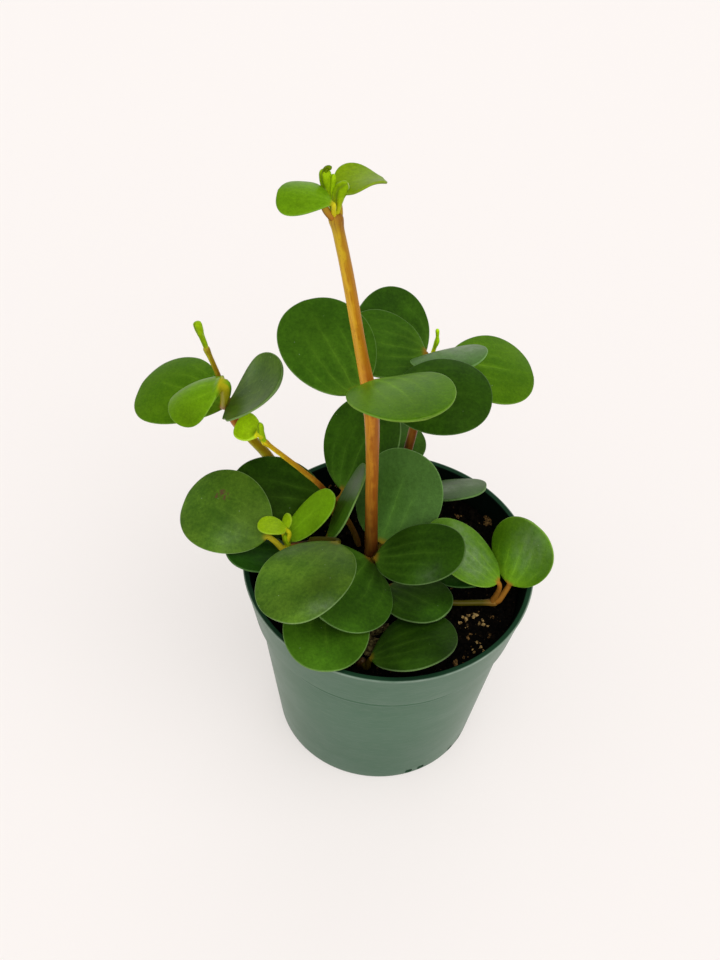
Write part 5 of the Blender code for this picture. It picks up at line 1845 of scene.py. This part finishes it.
    def set_bits(self, bits: tuple[Point, ...], parts: int, seed: int) -> tuple[np.ndarray, np.ndarray]:
        """Work out the places and sizes of bits that stand on the soil, each a small cluster.

        Args:
            bits: (x, y, size) of each bit.
            parts: how many lumps make one bit.
            seed: picks how they lie.

        Returns:
            The lumps' centres and their sizes.
        """
        chance = np.random.default_rng(seed)
        rows = np.repeat(np.asarray(bits, float), parts, axis=0)
        sizes = rows[:, 2] * chance.uniform(*self.BIT_SIZES, len(rows))
        x = rows[:, 0] + chance.normal(0, self.BIT_SCATTER, len(rows)) * rows[:, 2]
        y = rows[:, 1] + chance.normal(0, self.BIT_SCATTER, len(rows)) * rows[:, 2]
        return np.stack([x, y, self.surface(x, y) + sizes * 0.5], axis=-1), sizes

    def scrap_skin(self, base: Point, heading: float, length: float, width: float, curl: float) -> Skin:
        """Work out a dry leaf scrap that lies curled on the soil.

        Its rings are thin lens shapes along a line that lifts as a half sine. Across, the sheet
        curls on an arc, and its half-width is sin(pi s)^0.6 with a ragged ripple.

        Args:
            base: one end of the scrap.
            heading: which way it lies, in degrees from +X towards +Y.
            length: how long it is.
            width: how wide it is.
            curl: how far it bends across, in degrees.

        Returns:
            The scrap as a closed skin.
        """
        share = np.linspace(0.02, 0.98, 26)[:, None]
        turn = full_turn(32)
        ragged = 1 + 0.14 * np.sin(share * 23) + 0.08 * np.sin(share * 51 + np.sign(np.cos(turn)))
        half = width / 2 * np.sin(math.pi * share)**0.6 * ragged
        bend = math.radians(curl) * np.cos(turn) * half / (width / 2)
        radius = width / 2 / math.radians(curl)
        across = np.sin(bend) * radius
        lift = 0.9 * np.sin(math.pi * share) + (1 - np.cos(bend)) * radius + 0.2 * np.sin(turn)
        lift = lift + 0.35 * np.sin(share * 17 + 2 * across / width)
        angle = math.radians(heading)
        x = base[0] + share * length * math.cos(angle) - across * math.sin(angle)
        y = base[1] + share * length * math.sin(angle) + across * math.cos(angle)
        return Skin(np.stack([x, y, base[2] + lift], axis=-1))

    def build(self) -> None:
        """Build the bed and what lies on it."""
        place_piece("soil_bed", join_skins("soil_bed_skin", [self.bed_skin()]),
                    self.bed.dress("soil_bed_finish"), "soil", "soil")
        chance = np.random.default_rng(31)
        crumb_sizes = chance.gamma(3.0, 0.2, self.crumbs).clip(0.25, 1.7)
        chip_sizes = chance.uniform(0.2, 0.6, self.chips)
        litter = (
            ("crumbs", "crumb", self.crumb, Lumps(self.lump_places(self.crumbs, 7), crumb_sizes, 0.8, 11)),
            ("chips", "chip", self.bark, Lumps(self.lump_places(self.chips, 9), chip_sizes, 0.6, 12)),
            ("bark", "bark", self.bark, Lumps(*self.set_bits(self.BARK_BITS, 3, 13), 0.75, 14)),
            ("perlite", "perlite", self.perlite, Lumps(*self.set_bits(self.PALE_BITS, 3, 15), 0.8, 16)),
        )
        for name, label, finish, lumps in litter:
            mesh = lumps.mesh(f"soil_{name}_mesh")
            place_piece(f"soil_{name}", mesh, finish.dress(f"{label}_finish"), "soil")
        scraps = [self.scrap_skin((-4.6, -28.6, 77.6), 28, 9.5, 5.0, 70),
                  self.scrap_skin((-4.4, -37.0, 77.4), 75, 9.0, 6.0, 40)]
        place_piece("dry_scraps", join_skins("dry_scraps_mesh", scraps), self.scrap.dress("scrap_finish"),
                    "soil")


@dataclass(frozen=True)
class Softbox:
    """A soft studio light far off, seen from the plant as a wide round disc.

    azimuth: where the light stands, in degrees from +X towards +Y
    elevation: how high it stands, in degrees
    spread: how wide the disc looks, in degrees
    brightness: the disc's radiance
    """

    azimuth: float
    elevation: float
    spread: float
    brightness: float

    def strength(self) -> float:
        """Return the light's strength: its brightness times the disc's solid angle, 2 pi (1 - cos half)."""
        return self.brightness * 2 * math.pi * (1 - math.cos(math.radians(self.spread / 2)))

    def towards(self) -> Vector:
        """Work out where the light stands.

        Returns:
            The direction from the plant to the light, at length one.
        """
        azimuth, elevation = math.radians(self.azimuth), math.radians(self.elevation)
        level = math.cos(elevation)
        return Vector((level * math.cos(azimuth), level * math.sin(azimuth), math.sin(elevation)))


@dataclass
class Studio:
    """The pale floor, which glows faintly so that shadows stay light, the soft lights and the camera.

    floor_drop: how far the floor is below the pot, so that the two don't touch
    clip_start, clip_end: what the camera sees, in metres; camera_turn: in degrees
    """

    floor_size: float = 12000.0
    floor_drop: float = 0.05
    floor_colour: Colour = (0.42, 0.397, 0.388)
    floor_mottle: Colour = (0.39, 0.37, 0.36)
    floor_glow: Colour = (1.0, 0.95, 0.92)
    floor_glow_strength: float = 0.50
    surround: Colour = (1.0, 0.99, 0.98)
    surround_strength: float = 0.56
    softboxes: dict[str, Softbox] = field(default_factory=lambda: {
        "front_left": Softbox(azimuth=-122, elevation=54, spread=75, brightness=0.42),
        "front_right": Softbox(azimuth=-52, elevation=54, spread=75, brightness=1.2),
        "backdrop": Softbox(azimuth=85, elevation=14, spread=50, brightness=1.0),
    })
    focal_length: float = 55.0
    sensor: float = 36.0
    clip_start: float = 0.01
    clip_end: float = 50.0
    camera_place: Point = (0.0, -322.84, 484.09)
    camera_turn: Point = (41.853, -2.738, 5.194)

    def floor(self) -> None:
        """Build the floor: one wide level square with a faint mottle."""
        half = self.floor_size / 2
        corners = np.array([(-half, -half, 0), (half, -half, 0), (half, half, 0), (-half, half, 0)], float)
        mesh = make_mesh("floor_mesh", corners - (0, 0, self.floor_drop), [np.array([[0, 1, 2, 3]])], {})
        board = Board("floor_paper")
        mottle = board.noise(board.place(), 60.0, 3.0)
        colour = board.mix(mottle * 0.06, self.floor_colour, self.floor_mottle)
        board.feed(board.shader.inputs["Emission Color"], self.floor_glow)
        board.feed(board.shader.inputs["Emission Strength"], self.floor_glow_strength)
        mesh.materials.append(board.finish(colour, 0.9, mottle, 0.01, 0.1))
        floor = bpy.data.objects.new("floor", mesh)
        bpy.context.scene.collection.objects.link(floor)

    def light(self) -> None:
        """Set the even surround and the soft lights, each turned so that it shines on the plant."""
        world = bpy.data.worlds.new("studio_surround")
        bpy.context.scene.world = world
        world.use_nodes = True
        surround = world.node_tree.nodes["Background"]
        surround.inputs["Color"].default_value = (*self.surround, 1.0)
        surround.inputs["Strength"].default_value = self.surround_strength
        for name, softbox in self.softboxes.items():
            made = bpy.data.lights.new(name, "SUN")
            made.angle, made.energy = math.radians(softbox.spread), softbox.strength()
            light = bpy.data.objects.new(name, made)
            light.location = softbox.towards()
            light.rotation_euler = softbox.towards().to_track_quat("Z", "Y").to_euler()
            bpy.context.scene.collection.objects.link(light)

    def camera(self) -> None:
        """Set the camera that sees the plant as the photograph does."""
        lens = bpy.data.cameras.new("camera")
        lens.sensor_fit, lens.sensor_height, lens.lens = "VERTICAL", self.sensor, self.focal_length
        lens.clip_start, lens.clip_end = self.clip_start, self.clip_end
        camera = bpy.data.objects.new("camera", lens)
        camera.location = [axis * METRES_PER_MM for axis in self.camera_place]
        camera.rotation_euler = [math.radians(angle) for angle in self.camera_turn]
        bpy.context.scene.collection.objects.link(camera)
        bpy.context.scene.camera = camera
        bpy.context.scene.view_settings.view_transform = "Standard"

    def build(self) -> None:
        """Build the floor, the lights and the camera."""
        self.floor()
        self.light()
        self.camera()


def main() -> None:
    logging.basicConfig(level=logging.INFO, format="%(name)s: %(message)s")
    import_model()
    for part in (Studio(), Pot(), Soil(), Stems(), Foliage(), Tips()):
        log.info("building %s", type(part).__name__)
        part.build()


if __name__ == "__main__":
    main()
